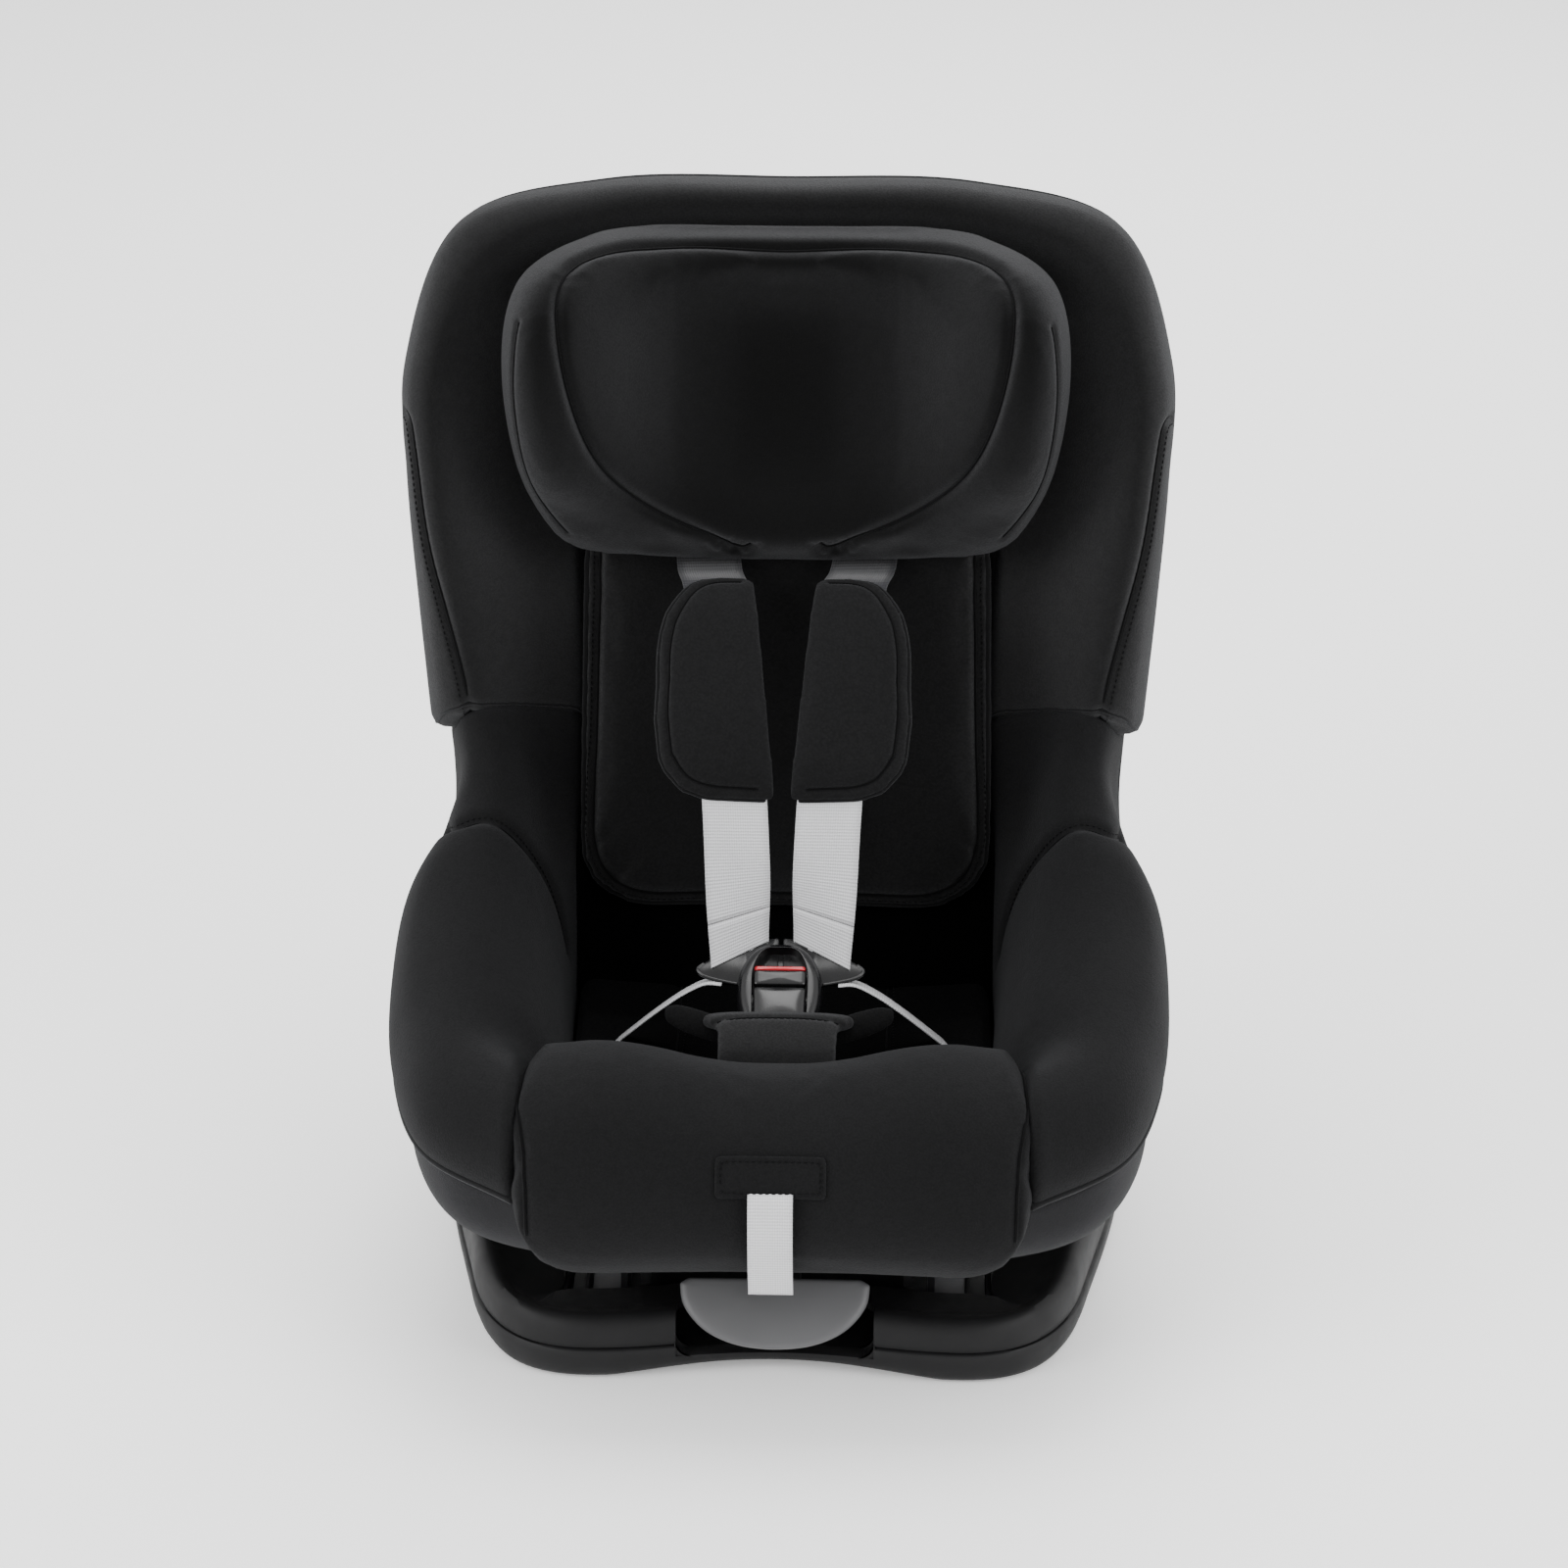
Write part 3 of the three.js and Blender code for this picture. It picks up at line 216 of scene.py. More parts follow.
def end_faces(rings):
    """One face over the first ring and one over the last, for vertices made of rings of one size."""
    size, total = len(rings[0]), len(rings[0]) * len(rings)
    return [tuple(range(size)), tuple(range(total - size, total))]


def tube_grid(name, grid, dome=0.0, closed_rows=False):
    """A closed piece over rings. Each open end is closed by rings that shrink to its middle."""
    rings = [np.asarray(r, float) for r in grid]
    if not closed_rows:
        for end, inner in ((0, 1), (-1, -2)):
            ring, before = rings[end], rings[inner]
            middle = ring.mean(axis=0)
            away = middle - before.mean(axis=0)
            away /= max(np.linalg.norm(away), 1e-6)
            extra = []
            for share in (0.85, 0.6, 0.3):
                lift = dome * math.sqrt(1 - share**2)
                extra.append(middle + (ring - middle) * share + away * lift)
            rings = (extra[::-1] + rings) if end == 0 else (rings + extra)
    count, size = len(rings), len(rings[0])
    vertices = np.concatenate(rings)
    faces = grid_faces(count, size, closed_rows, True)
    if not closed_rows:
        for row in (0, count - 1):
            vertices = np.vstack([vertices, rings[row].mean(axis=0)])
            centre = len(vertices) - 1
            faces += [(row * size + j, row * size + (j + 1) % size, centre) for j in range(size)]
    return mesh_object(name, vertices, faces)


def cord(name, points, radius, closed=False):
    """A round cord along points."""
    p = np.asarray(points, float)
    tangents = np.roll(p, -1, axis=0) - np.roll(p, 1, axis=0)
    if not closed:
        tangents[0], tangents[-1] = p[1] - p[0], p[-1] - p[-2]
    up = np.cross(unit(tangents)[0], [0.3, 0.5, 0.81])
    rings = []
    for spot, along in zip(p, unit(tangents)):
        up = unit(up - along * (up @ along))
        round_it = np.outer(np.cos(turns(8)), up) + np.outer(np.sin(turns(8)), np.cross(along, up))
        rings.append(spot + radius * round_it)
    return tube_grid(name, rings, dome=0 if closed else radius * 0.6, closed_rows=closed)


def stitches(name, points, normals, closed=False):
    """A row of short threads lying along a path on a surface."""
    pitch, length, thick, sides = 3.6, 2.4, 0.45, 5
    p, up_there = looped(np.asarray(points, float), closed), looped(np.asarray(normals, float), closed)
    s = arc_lengths(p)
    vertices, faces = [], []
    for start in np.arange(pitch * 0.3, s[-1] - length, pitch):
        first, last = looked_up(np.array([start, start + length]), s, p)
        up = unit(looked_up(start, s, up_there))
        side = unit(np.cross(last - first, up))
        base = len(vertices)
        rings = []
        for share, width, rise in ((0.0, 0.35, -0.4), (0.2, 1.0, 0.3), (0.8, 1.0, 0.3), (1.0, 0.35, -0.4)):
            middle = first + (last - first) * share + up * thick * rise
            spread = [math.cos(a) * side + math.sin(a) * up for a in turns(sides)]
            rings.append([middle + thick * width * way for way in spread])
            vertices += rings[-1]
        for face in grid_faces(len(rings), sides, False, True) + end_faces(rings):
            faces.append(tuple(base + index for index in face))
    return mesh_object(name, vertices, faces)


def apply_modifiers(obj):
    bpy.context.view_layer.update()
    evaluated = obj.evaluated_get(bpy.context.evaluated_depsgraph_get())
    mesh = bpy.data.meshes.new_from_object(evaluated)
    obj.modifiers.clear()
    obj.data = mesh
    smooth_shading(mesh)
    return obj


def modify(obj, kind, **settings):
    modifier = obj.modifiers.new(kind.lower(), kind)
    for key, value in settings.items():
        setattr(modifier, key, value)
    return obj


def subdivide(obj):
    return apply_modifiers(modify(obj, "SUBSURF", levels=1, render_levels=1))


def bevel(obj, width, segments=3, angle=35):
    limit = math.radians(angle)
    return modify(obj, "BEVEL", width=width * MM, segments=segments, limit_method="ANGLE", angle_limit=limit)


def boolean(obj, tool, operation="DIFFERENCE"):
    apply_modifiers(modify(obj, "BOOLEAN", operation=operation, solver="EXACT", object=tool))
    bpy.data.objects.remove(tool, do_unlink=True)
    return obj


def cut_out(obj, outline, levels, place=lambda x, y, z: (x, y, z)):
    """Cuts a hole of an outline through a piece, between two levels of a frame."""
    boolean(obj, tube_grid("cut", [np.array([place(x, y, z) for x, y in outline], float) for z in levels]))


def block(name, x_range, y_range, z_range):
    corners = [(x, y, z) for x in x_range for y in y_range for z in z_range]
    faces = [(0, 1, 3, 2), (4, 6, 7, 5), (0, 4, 5, 1), (2, 3, 7, 6), (0, 2, 6, 4), (1, 5, 7, 3)]
    return mesh_object(name, corners, faces, smooth=False)


def coordinates(obj_or_mesh):
    mesh = getattr(obj_or_mesh, "data", obj_or_mesh)
    co = np.empty(len(mesh.vertices) * 3)
    mesh.vertices.foreach_get("co", co)
    return co.reshape(-1, 3) / MM


def set_coordinates(obj, co):
    obj.data.vertices.foreach_set("co", (np.asarray(co, float) * MM).ravel())
    obj.data.update()


def vertex_normals(obj):
    normals = np.empty(len(obj.data.vertices) * 3)
    obj.data.vertices.foreach_get("normal", normals)
    return normals.reshape(-1, 3)


# ---------------------------------------------------------------- soft goods


def cloth_shape(obj, pressure, hold):
    """Where stuffed cloth under pressure puts each point. hold(points) marks those that stay put."""
    rest = coordinates(obj)
    cloth = obj.modifiers.new("cloth", "CLOTH")
    settings = cloth.settings
    settings.quality = 5
    settings.mass = 0.3
    settings.tension_stiffness = settings.compression_stiffness = 18
    settings.shear_stiffness = 8
    settings.bending_stiffness = 0.4
    settings.use_pressure = True
    settings.uniform_pressure_force = pressure
    settings.effector_weights.gravity = 0
    cloth.collision_settings.use_collision = False
    cloth.point_cache.frame_start, cloth.point_cache.frame_end = 1, 20
    if hold is not None:
        group = obj.vertex_groups.new(name="held")
        group.add([int(i) for i in np.flatnonzero(hold(rest))], 1.0, "REPLACE")
        settings.vertex_group_mass = "held"
    for number in range(1, 21):
        bpy.context.scene.frame_set(number)
    evaluated = obj.evaluated_get(bpy.context.evaluated_depsgraph_get())
    swollen = coordinates(evaluated.to_mesh())
    evaluated.to_mesh_clear()
    obj.modifiers.clear()
    obj.vertex_groups.clear()
    bpy.context.scene.frame_set(1)
    return swollen


def inflate(obj, voxel, pressure, cap, hold=None):
    """Swells a pad like stuffed cloth, moving no point farther than the cap."""
    apply_modifiers(modify(obj, "REMESH", mode="VOXEL", voxel_size=voxel * MM, use_smooth_shade=True))
    rest = coordinates(obj)
    shift = cloth_shape(obj, pressure, hold) - rest
    far = np.linalg.norm(shift, axis=1, keepdims=True).clip(1e-9)
    set_coordinates(obj, rest + shift * np.minimum(1, cap / far))
    return subdivide(obj)


def behind(out):
    """Marks the points of a pad that lie less than a distance out of the backrest."""
    return lambda points: ((points - on_back(0, BACK_Z)) @ OUT) < out


def tree_of(obj):
    bpy.context.view_layer.update()
    return BVHTree.FromObject(obj, bpy.context.evaluated_depsgraph_get())


def seen_on(obj, points, side=1):
    """Guide points moved along the line of sight on to a surface."""
    tree = tree_of(obj)
    hits = []
    for p in flipped(points, side):
        direction = Vector(p - EYE).normalized()
        hit = tree.ray_cast(Vector(p) * MM - direction * 0.3, direction)[0]
        if hit is None:
            hit = tree.find_nearest(Vector(p) * MM)[0]
        hits.append(np.array(hit) / MM)
    return np.array(hits)


def on_surface(tree, points, lift=0.0):
    """The nearest points on a surface, lifted off it, and the surface's normals there."""
    near = [tree.find_nearest(Vector(p) * MM) for p in points]
    normals = np.array([np.array(found[1]) for found in near])
    return np.array([np.array(found[0]) / MM for found in near]) + normals * lift, normals


def gap_to(co, path):
    """Distance from each point to a path."""
    near = np.full(len(co), np.inf)
    for start in range(0, len(path), 64):
        part = path[start : start + 64]
        near = np.minimum(near, np.linalg.norm(co[:, None, :] - part[None], axis=2).min(axis=1))
    return near


def refine(obj, path, reach):
    """Finer mesh beside a path, so that a narrow groove comes out smooth."""
    close = gap_to(coordinates(obj), resample(path, 2.0)) < reach
    bm = bmesh.new()
    bm.from_mesh(obj.data)
    bm.verts.ensure_lookup_table()
    edges = [e for e in bm.edges if close[e.verts[0].index] and close[e.verts[1].index]]
    bmesh.ops.subdivide_edges(bm, edges=edges, cuts=1, use_grid_fill=True, smooth=0.6)
    bm.to_mesh(obj.data)
    bm.free()
    obj.data.update()
    smooth_shading(obj.data)


def press(obj, path, depth, width, puff=0.0):
    """Sinks a seam along a path, with the cloth standing a little proud beside it."""
    co, normals = coordinates(obj), vertex_normals(obj)
    near = gap_to(co, resample(path, 2.0))
    sink = -depth * np.exp(-((near / width) ** 2))
    beside = near / 14.0
    sink += puff * beside * np.exp(1 - beside)
    set_coordinates(obj, co + normals * sink[:, None])


def finish_piece(obj, body, material, nodes=(), blend=None):
    """Gives a piece its material and its body, and hides the nodes it replaces. Given blend, it is attached
    to no body and only its transform is baked; what blend holds is not used.
    """
    obj.data.materials.clear()
    obj.data.materials.append(MATERIALS[material])
    if blend:
        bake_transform(obj)
    else:
        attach(obj, body)
    if nodes:
        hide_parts(*nodes)
    return obj


def eased(tree, path):
    """A path on a piece with its small wobbles smoothed out."""
    p = resample(path, 3.0)
    for _ in range(6):
        p = on_surface(tree, averaged(p, 5))[0]
    return p


def wrapped(tree, path):
    """A path whose first end is carried on round the edge of a piece, out of sight from the front."""
    ahead = [path[1], path[0]]
    for _ in range(5):
        way = unit(ahead[-1] - ahead[-2]) * 0.7 - BACKWARD * 0.7
        ahead.append(on_surface(tree, [ahead[-1] + way * 4.0])[0][0])
    return np.vstack([ahead[:1:-1], path])


def guided(obj, guides, side, wrap=False):
    """A curve through guide points for the left side, laid on a piece, or its mirror image for the right."""
    path = seen_on(obj, spline(guides, 8), -side)
    tree = tree_of(obj)
    path = eased(tree, path)
    return wrapped(tree, path) if wrap else path


def sew(obj, name, path, body, depth, width, beside=0.0, closed=False, cord_radius=0.7, puff=0.0):
    """A sewn seam along a path that already lies on a piece: a groove, a cord in it and top stitching."""
    path = averaged(resample(path, 2.5, closed), 10, closed)
    normals = averaged(on_surface(tree_of(obj), path)[1], 10, closed)
    normals /= np.linalg.norm(normals, axis=1, keepdims=True)
    track = looped(path, closed)
    refine(obj, track, 2.0 * width + 2.0)
    press(obj, track, depth, width, puff)
    low = path - normals * (depth * 0.86 - cord_radius * 0.3)
    finish_piece(cord(name, low, cord_radius, closed), body, "thread")
    if beside:
        across = unit(np.cross(np.gradient(low, axis=0), normals))
        spots, spot_normals = on_surface(tree_of(obj), low + across * beside, 0.12)
        spots = averaged(spots, 4, closed)
        finish_piece(stitches(name + "_stitches", spots, spot_normals, closed), body, "thread")


# ---------------------------------------------------------------- materials

MATERIALS = {}


def rgba(colour):
    return (*colour, 1) if isinstance(colour, tuple) else colour


class Shader:
    """A small builder for a principled material's node tree."""

    def __init__(self, name, slot):
        material = bpy.data.materials.new(name)
        material.use_nodes = True
        self.tree = material.node_tree
        self.tree.nodes.clear()
        self.surface = self.node("BsdfPrincipled")
        self.node("OutputMaterial", {0: self.surface.outputs[0]})
        self.place = self.node("TexCoord")
        MATERIALS[name] = material

    def node(self, kind, inputs=None, **settings):
        """A node, with its settings, and its inputs from values or from other nodes."""
        node = self.tree.nodes.new("ShaderNode" + kind)
        for key, value in settings.items():
            setattr(node, key, value)
        for key, value in (inputs or {}).items():
            self.put(node.inputs[key], value)
        return node

    def put(self, socket, value):
        if isinstance(value, bpy.types.NodeSocket):
            self.tree.links.new(value, socket)
        else:
            socket.default_value = value

    def set(self, **values):
        for key, value in values.items():
            self.put(self.surface.inputs[key.replace("_", " ")], value)

    def noise(self, scale, detail=2.0, roughness=0.5, stretch=None):
        place = self.place.outputs["Object"]
        if stretch is not None:
            place = self.node("Mapping", {"Scale": stretch, "Vector": place}).outputs[0]
        inputs = {"Scale": scale, "Detail": detail, "Roughness": roughness, "Vector": place}
        return self.node("TexNoise", inputs).outputs["Fac"]

    def cells(self, scale):
        inputs = {"Scale": scale, "Vector": self.place.outputs["Object"]}
        return self.node("TexVoronoi", inputs).outputs["Distance"]

    def bands(self, scale, direction):
        inputs = {"Scale": scale, "Distortion": 0.0, "Vector": self.place.outputs["UV"]}
        return self.node("TexWave", inputs, bands_direction=direction).outputs["Fac"]

    def math(self, operation, a, b):
        return self.node("Math", {0: a, 1: b}, operation=operation).outputs[0]

    def span(self, value, low, high, from_low=0.0, from_high=1.0):
        inputs = {"Value": value, "From Min": from_low, "From Max": from_high, "To Min": low, "To Max": high}
        return self.node("MapRange", inputs).outputs[0]

    def mix(self, share, dark, light):
        return self.node("Mix", {"Factor": share, 6: rgba(dark), 7: rgba(light)}, data_type="RGBA").outputs[2]

    def bump(self, height, distance, strength=1.0, under=None):
        inputs = {"Distance": distance, "Strength": strength, "Height": height}
        if under is not None:
            inputs["Normal"] = under
        return self.node("Bump", inputs).outputs[0]

    def painted_sheen_and_shade(self, colour, slope):
        """Painted light: the colour is darkened where the surface faces the eye, lightened where it turns
        away (painted sheen), and darkened again towards the outline (painted shade).
        """
        facing = self.node("LayerWeight", {"Blend": 0.5}).outputs["Facing"]
        rise = self.span(facing, 1 - slope, 1 + slope, 0.0, 0.6)
        fall = self.span(facing, 1.0, 0.4, 0.62, 0.95)
        inputs = {0: colour, "Scale": self.math("MULTIPLY", rise, fall)}
        return self.node("VectorMath", inputs, operation="SCALE").outputs[0]

    def edges(self):
        return self.span(self.node("NewGeometry").outputs["Pointiness"], 0.0, 1.0, 0.52, 0.6)


def shade(colour, factor):
    return tuple(min(c * factor, 1.0) for c in colour)


def fabric(
    name, slot, colour, cell=1.3, sheen=0.35, roughness=0.9, depth=0.25, soft=0.6, gleam=0.1, slope=0.7
):
    """A fine knit: small cells with fibre fuzz over them, slow changes of tone, soft dents, and painted shade
    and sheen by the angle to the eye, as strong as slope.
    """
    s = Shader(name, slot)
    knit = s.cells(1000 / cell)
    fuzz = s.noise(2600, 1.5)
    mixed = s.mix(s.span(s.noise(9, 3.0), 0.0, 1.0, 0.3, 0.7), shade(colour, 0.84), shade(colour, 1.18))
    speck = s.mix(s.span(s.noise(160), 0.0, 0.5, 0.35, 0.75), mixed, shade(colour, 1.3))
    looped_over = s.mix(s.span(knit, 0.0, 0.55, 0.15, 0.75), speck, shade(colour, 0.45))
    dents = s.bump(s.noise(26), 0.0012 * soft)
    weave = s.bump(s.math("SUBTRACT", s.math("MULTIPLY", fuzz, 0.5), knit), depth * MM, 0.8, dents)
    # base colour: painted shade where the cloth faces the eye, painted sheen where it turns away
    s.set(
        Base_Color=s.painted_sheen_and_shade(looped_over, slope),
        Roughness=s.span(fuzz, roughness - 0.08, min(roughness + 0.06, 1.0)),
        Normal=weave, Sheen_Weight=sheen, Sheen_Roughness=0.45, Sheen_Tint=(0.8, 0.82, 0.86, 1),
        Specular_IOR_Level=gleam,
    )


def webbing(name, slot, colour):
    """Woven strap: ribs across it, finer threads along it, and a little dust."""
    s = Shader(name, slot)
    ribs, threads = s.bands(0.17, "Y"), s.bands(0.23, "X")
    weave = s.math("ADD", s.math("MULTIPLY", ribs, 0.6), s.math("MULTIPLY", threads, 0.4))
    base = s.mix(s.span(weave, 0.0, 1.0, 0.1, 0.8), shade(colour, 0.72), colour)
    dusty = s.mix(s.span(s.noise(40, 3.0), 0.0, 0.22, 0.45, 0.8), base, shade(colour, 0.6))
    fine = s.bump(s.noise(1800), 0.00008, 0.6)
    s.set(
        Base_Color=dusty, Roughness=s.span(weave, 0.82, 0.66), Normal=s.bump(weave, 0.0003, 0.9, fine),
        Sheen_Weight=0.25, Sheen_Roughness=0.4, Specular_IOR_Level=0.35,
    )


def plastic(name, slot, colour, roughness=0.5, grain=0.06, coat=0.0, wear=1.5, gleam=0.45):
    """Moulded plastic: a fine spark-eroded grain, faint clouding, and edges rubbed lighter."""
    s = Shader(name, slot)
    body = s.mix(s.span(s.noise(14, 3.0), 0.0, 1.0, 0.3, 0.7), shade(colour, 0.9), shade(colour, 1.12))
    scuff = s.math("MULTIPLY", s.edges(), s.span(s.noise(120, 3.0), 0.2, 1.0, 0.4, 0.7))
    ripple = s.bump(s.noise(20, 1.0), 0.0002, 0.4)
    s.set(
        Base_Color=s.mix(scuff, body, shade(colour, wear)),
        Roughness=s.span(s.noise(55, 4.0), roughness - 0.06, roughness + 0.08, 0.3, 0.7),
        Normal=s.bump(s.noise(1300, 3.0, 0.7), grain * MM, 0.8, ripple),
        Coat_Weight=coat, Coat_Roughness=0.08, Specular_IOR_Level=gleam,
    )


def metal(name, slot, colour, roughness, stretch=(1, 1, 1)):
    """Drawn or pressed steel: a grain along the part, and duller patches."""
    s = Shader(name, slot)
    grain = s.noise(500, 3.0, 0.6, stretch)
    s.set(
        Base_Color=s.mix(s.noise(30, 3.0), shade(colour, 0.75), colour),
        Roughness=s.span(grain, roughness - 0.08, roughness + 0.12),
        Normal=s.bump(grain, 0.00006, 0.7), Metallic=1.0,
    )


def make_materials():
    fabric("cover_fabric", "cover_fabric", (0.0160, 0.0160, 0.0165), 1.2, 0.06, slope=0.6)
    # a darker copy of the cover fabric for the headrest: painted shade, with a strong painted sheen
    fabric("head_fabric_painted_shade", "cover_fabric", (0.0105, 0.0105, 0.0110), 1.2, 0.06, slope=0.92)
    fabric("side_fabric", "side_fabric", (0.0056, 0.0056, 0.0066), 1.0, 0.05, 0.82, gleam=0.16, slope=0.3)
    fabric("bolster_fabric", "side_fabric", (0.0070, 0.0070, 0.0074), 1.2, 0.04, slope=0.3)
    fabric("soft_fabric", "soft_fabric", (0.0088, 0.0088, 0.0092), 1.6, 0.05, 0.95, 0.35, slope=0.3)
    fabric("lining_fabric", "soft_fabric", (0.0024, 0.0024, 0.0025), 1.6, 0.012, 0.97, 0.3, gleam=0.03)
    # a lighter copy of the soft fabric for the back pad: painted light
    fabric("back_pad_fabric_painted_light", "soft_fabric", (0.0165, 0.0165, 0.0170), 1.6, 0.06, 0.95, 0.35, slope=0.7)
    # a darker copy of the soft fabric for the crotch pad's wings: painted shade
    fabric("wing_fabric_painted_shade", "soft_fabric", (0.0045, 0.0045, 0.0047), 1.6, 0.03, 0.95, 0.3, slope=0.3)
    fabric("piping", "soft_fabric", (0.0085, 0.0085, 0.009), 0.8, 0.08, 0.85, 0.2, 0.1)
    fabric("thread", "cover_fabric", (0.003, 0.003, 0.0032), 0.5, 0.03, 0.7, 0.1, 0.0, 0.06)
    webbing("light_webbing", "light_webbing", (0.56, 0.56, 0.575))
    webbing("dark_webbing", "dark_webbing", (0.022, 0.0225, 0.027))
    plastic("base_plastic", "moulded_plastic", (0.0075, 0.0075, 0.0079), 0.55, 0.07, gleam=0.2)
    plastic("shell_plastic", "shell_plastic", (0.007, 0.007, 0.0075), 0.58, 0.08)
    plastic("handle_plastic", "grey_plastic", (0.078, 0.078, 0.081), 0.42, 0.04, 0.0, 1.25)
    plastic("gloss_plastic", "gloss_plastic", (0.0025, 0.0025, 0.003), 0.28, 0.006, 0.0, 1.6)
    plastic("button_plastic", "gloss_plastic", (0.006, 0.006, 0.0065), 0.25, 0.004, 0.1, 1.4)
    plastic("red_plastic", "red_plastic", (0.42, 0.010, 0.018), 0.3, 0.01, 0.4, 1.2)
    plastic("rubber", "rubber", (0.016, 0.016, 0.016), 0.8, 0.1)
    metal("steel", "steel", (0.34, 0.34, 0.35), 0.36, (1, 8, 1))
    metal("dark_steel", "steel", (0.10, 0.10, 0.105), 0.42)


# ---------------------------------------------------------------- padded rim

# Cuts across the padded rim, from the knee roll to the top: foot, slope, crest, brow, outer, hem, tuck,
# heel and sole.
RIM = np.array([
    [(138, -160, 168), (141, -188, 198), (144, -217, 208), (145, -240, 200), (146, -254, 176),
     (145, -256, 148), (139, -246, 138), (137, -226, 124), (136, -168, 100)],
    [(131, -148, 166), (150, -163, 199), (173, -184, 212), (188, -202, 203), (198, -214, 178),
     (198, -210, 152), (189, -203, 146), (174, -184, 120), (134, -152, 98)],
    [(127, -128, 166), (144, -132, 203), (180, -142, 226), (206, -148, 216), (220, -150, 190),
     (219, -147, 162), (211, -146, 154), (188, -140, 112), (131, -130, 94)],
    [(127, -86, 168), (142, -86, 212), (180, -88, 246), (212, -91, 236), (225, -92, 206), (222, -89, 168),
     (214, -88, 158), (190, -86, 108), (130, -86, 92)],
    [(129, -42, 172), (142, -42, 222), (173, -46, 264), (203, -50, 259), (220, -48, 232), (219, -42, 180),
     (211, -40, 168), (188, -38, 108), (132, -40, 92)],
    [(131, -2, 190), (144, -6, 236), (170, -14, 279), (190, -10, 274), (203, 2, 246), (208, 20, 200),
     (200, 24, 188), (182, 30, 116), (134, 8, 96)],
    [(127, 34, 238), (146, 22, 268), (169, 4, 300), (186, 8, 296), (194, 30, 272), (199, 62, 248),
     (194, 64, 240), (178, 78, 168), (130, 66, 140)],
    [(121, 60, 306), (150, 42, 318), (184, 15, 328), (200, 20, 322), (210, 40, 306), (211, 78, 296),
     (203, 80, 292), (176, 92, 266), (124, 100, 258)],
    [(124, 80, 380), (152, 56, 385), (192, 18, 392), (208, 24, 388), (217, 48, 380), (218, 90, 376),
     (210, 94, 374), (182, 118, 364), (126, 124, 362)],
    [(130, 100, 456), (163, 74, 459), (202, 26, 464), (216, 34, 462), (223, 58, 459), (223, 102, 456),
     (215, 106, 455), (188, 138, 450), (132, 143, 448)],
    [(134, 117, 518), (166, 94, 521), (204, 52, 526), (217, 58, 525), (224, 78, 521), (223, 116, 517),
     (215, 120, 515), (186, 152, 508), (134, 157, 506)],
    [(118, 127, 552), (148, 118, 568), (176, 94, 584), (186, 99, 591), (194, 110, 594), (193, 136, 590),
     (187, 140, 583), (164, 158, 558), (118, 164, 544)],
    [(70, 131, 568), (88, 127, 587), (102, 118, 602), (106, 121, 609), (110, 130, 613), (110, 152, 610),
     (108, 156, 602), (98, 166, 580), (70, 169, 558)],
    [(0, 132, 572), (0, 129, 590), (0, 122, 604), (0, 125, 611), (0, 134, 614), (0, 156, 611),
     (0, 160, 603), (0, 168, 584), (0, 171, 562)],
], float)
WAIST = 7  # row of the seam between the armrest cover and the backrest cover
WAIST_TOP = np.array([
    (121, 60, 306), (148, 42, 318), (178, 17, 327), (191, 21, 321), (199, 42, 306), (202, 78, 296),
    (196, 80, 292), (176, 92, 266), (124, 100, 258),
], float)  # the armrest cover's end, tucked under the backrest cover
ALONG, ACROSS = 12, 6  # finer steps between the rows, and round them
HEM = int(5.3 * ACROSS)  # where the hem cord runs in a fine row

ARCH_SEAM = [
    (-193, -20, 266), (-187, -20, 271), (-179, -20, 273), (-170, -20, 271), (-159, -20, 263),
    (-149, -20, 251), (-141, -20, 237), (-135.5, -20, 222), (-132, -20, 206), (-129.5, -20, 190),
]
WING_SEAM = [
    (-219, 40, 500), (-215, 30, 474), (-209, 20, 429), (-197, 20, 378), (-188, 20, 338), (-185, 15, 322),
]


def make_side_cover(side, where):
    """Armrest and bolster cover, from the knee roll up to the waist."""
    rows = spline_grid(flipped([*RIM[:WAIST], WAIST_TOP], side), ALONG, ACROSS, True)
    obj = subdivide(tube_grid("side_cover_" + where + "_padding", rows, dome=5))
    press(obj, rows[-1], 2.0, 4.0)
    press(obj, rows[0], 1.2, 3.0)
    arch = guided(obj, ARCH_SEAM, side, wrap=True)
    sew(obj, "bolster_seam_" + where, arch, "shell", 3.4, 4.5, beside=4.5 * side, puff=1.6)
    finish_piece(obj, "shell", "bolster_fabric", ["side_cover_" + where])
    finish_piece(cord("side_hem_" + where, resample(rows[:, HEM], 5.0), 2.2), "shell", "piping")


def make_backrest_cover():
    right = RIM[WAIST:]
    rows = spline_grid([*right, *flipped(right[-2::-1], -1)], ALONG, ACROSS, True)
    obj = subdivide(tube_grid("backrest_cover_padding", rows, dome=1))
    for end in (0, -1):
        press(obj, rows[end], 2.0, 4.0)
    for side, where in SIDES:
        wing = guided(obj, WING_SEAM, side, wrap=True)
        sew(obj, "wing_seam_" + where, wing, "shell", 2.2, 3.2, beside=-4.5 * side, puff=0.6)
        ring = rows[0] if side > 0 else rows[-1]
        visible = resample(ring[: int(5.2 * ACROSS)], 3.0)
        piping = cord("waist_piping_" + where, on_surface(tree_of(obj), visible, -0.4)[0], 1.2)
        finish_piece(piping, "shell", "piping")
    finish_piece(cord("backrest_hem", resample(rows[:, HEM], 5.0), 2.2), "shell", "piping")
    finish_piece(obj, "shell", "cover_fabric", ["backrest_cover"])


# ---------------------------------------------------------------- moulded seat shell

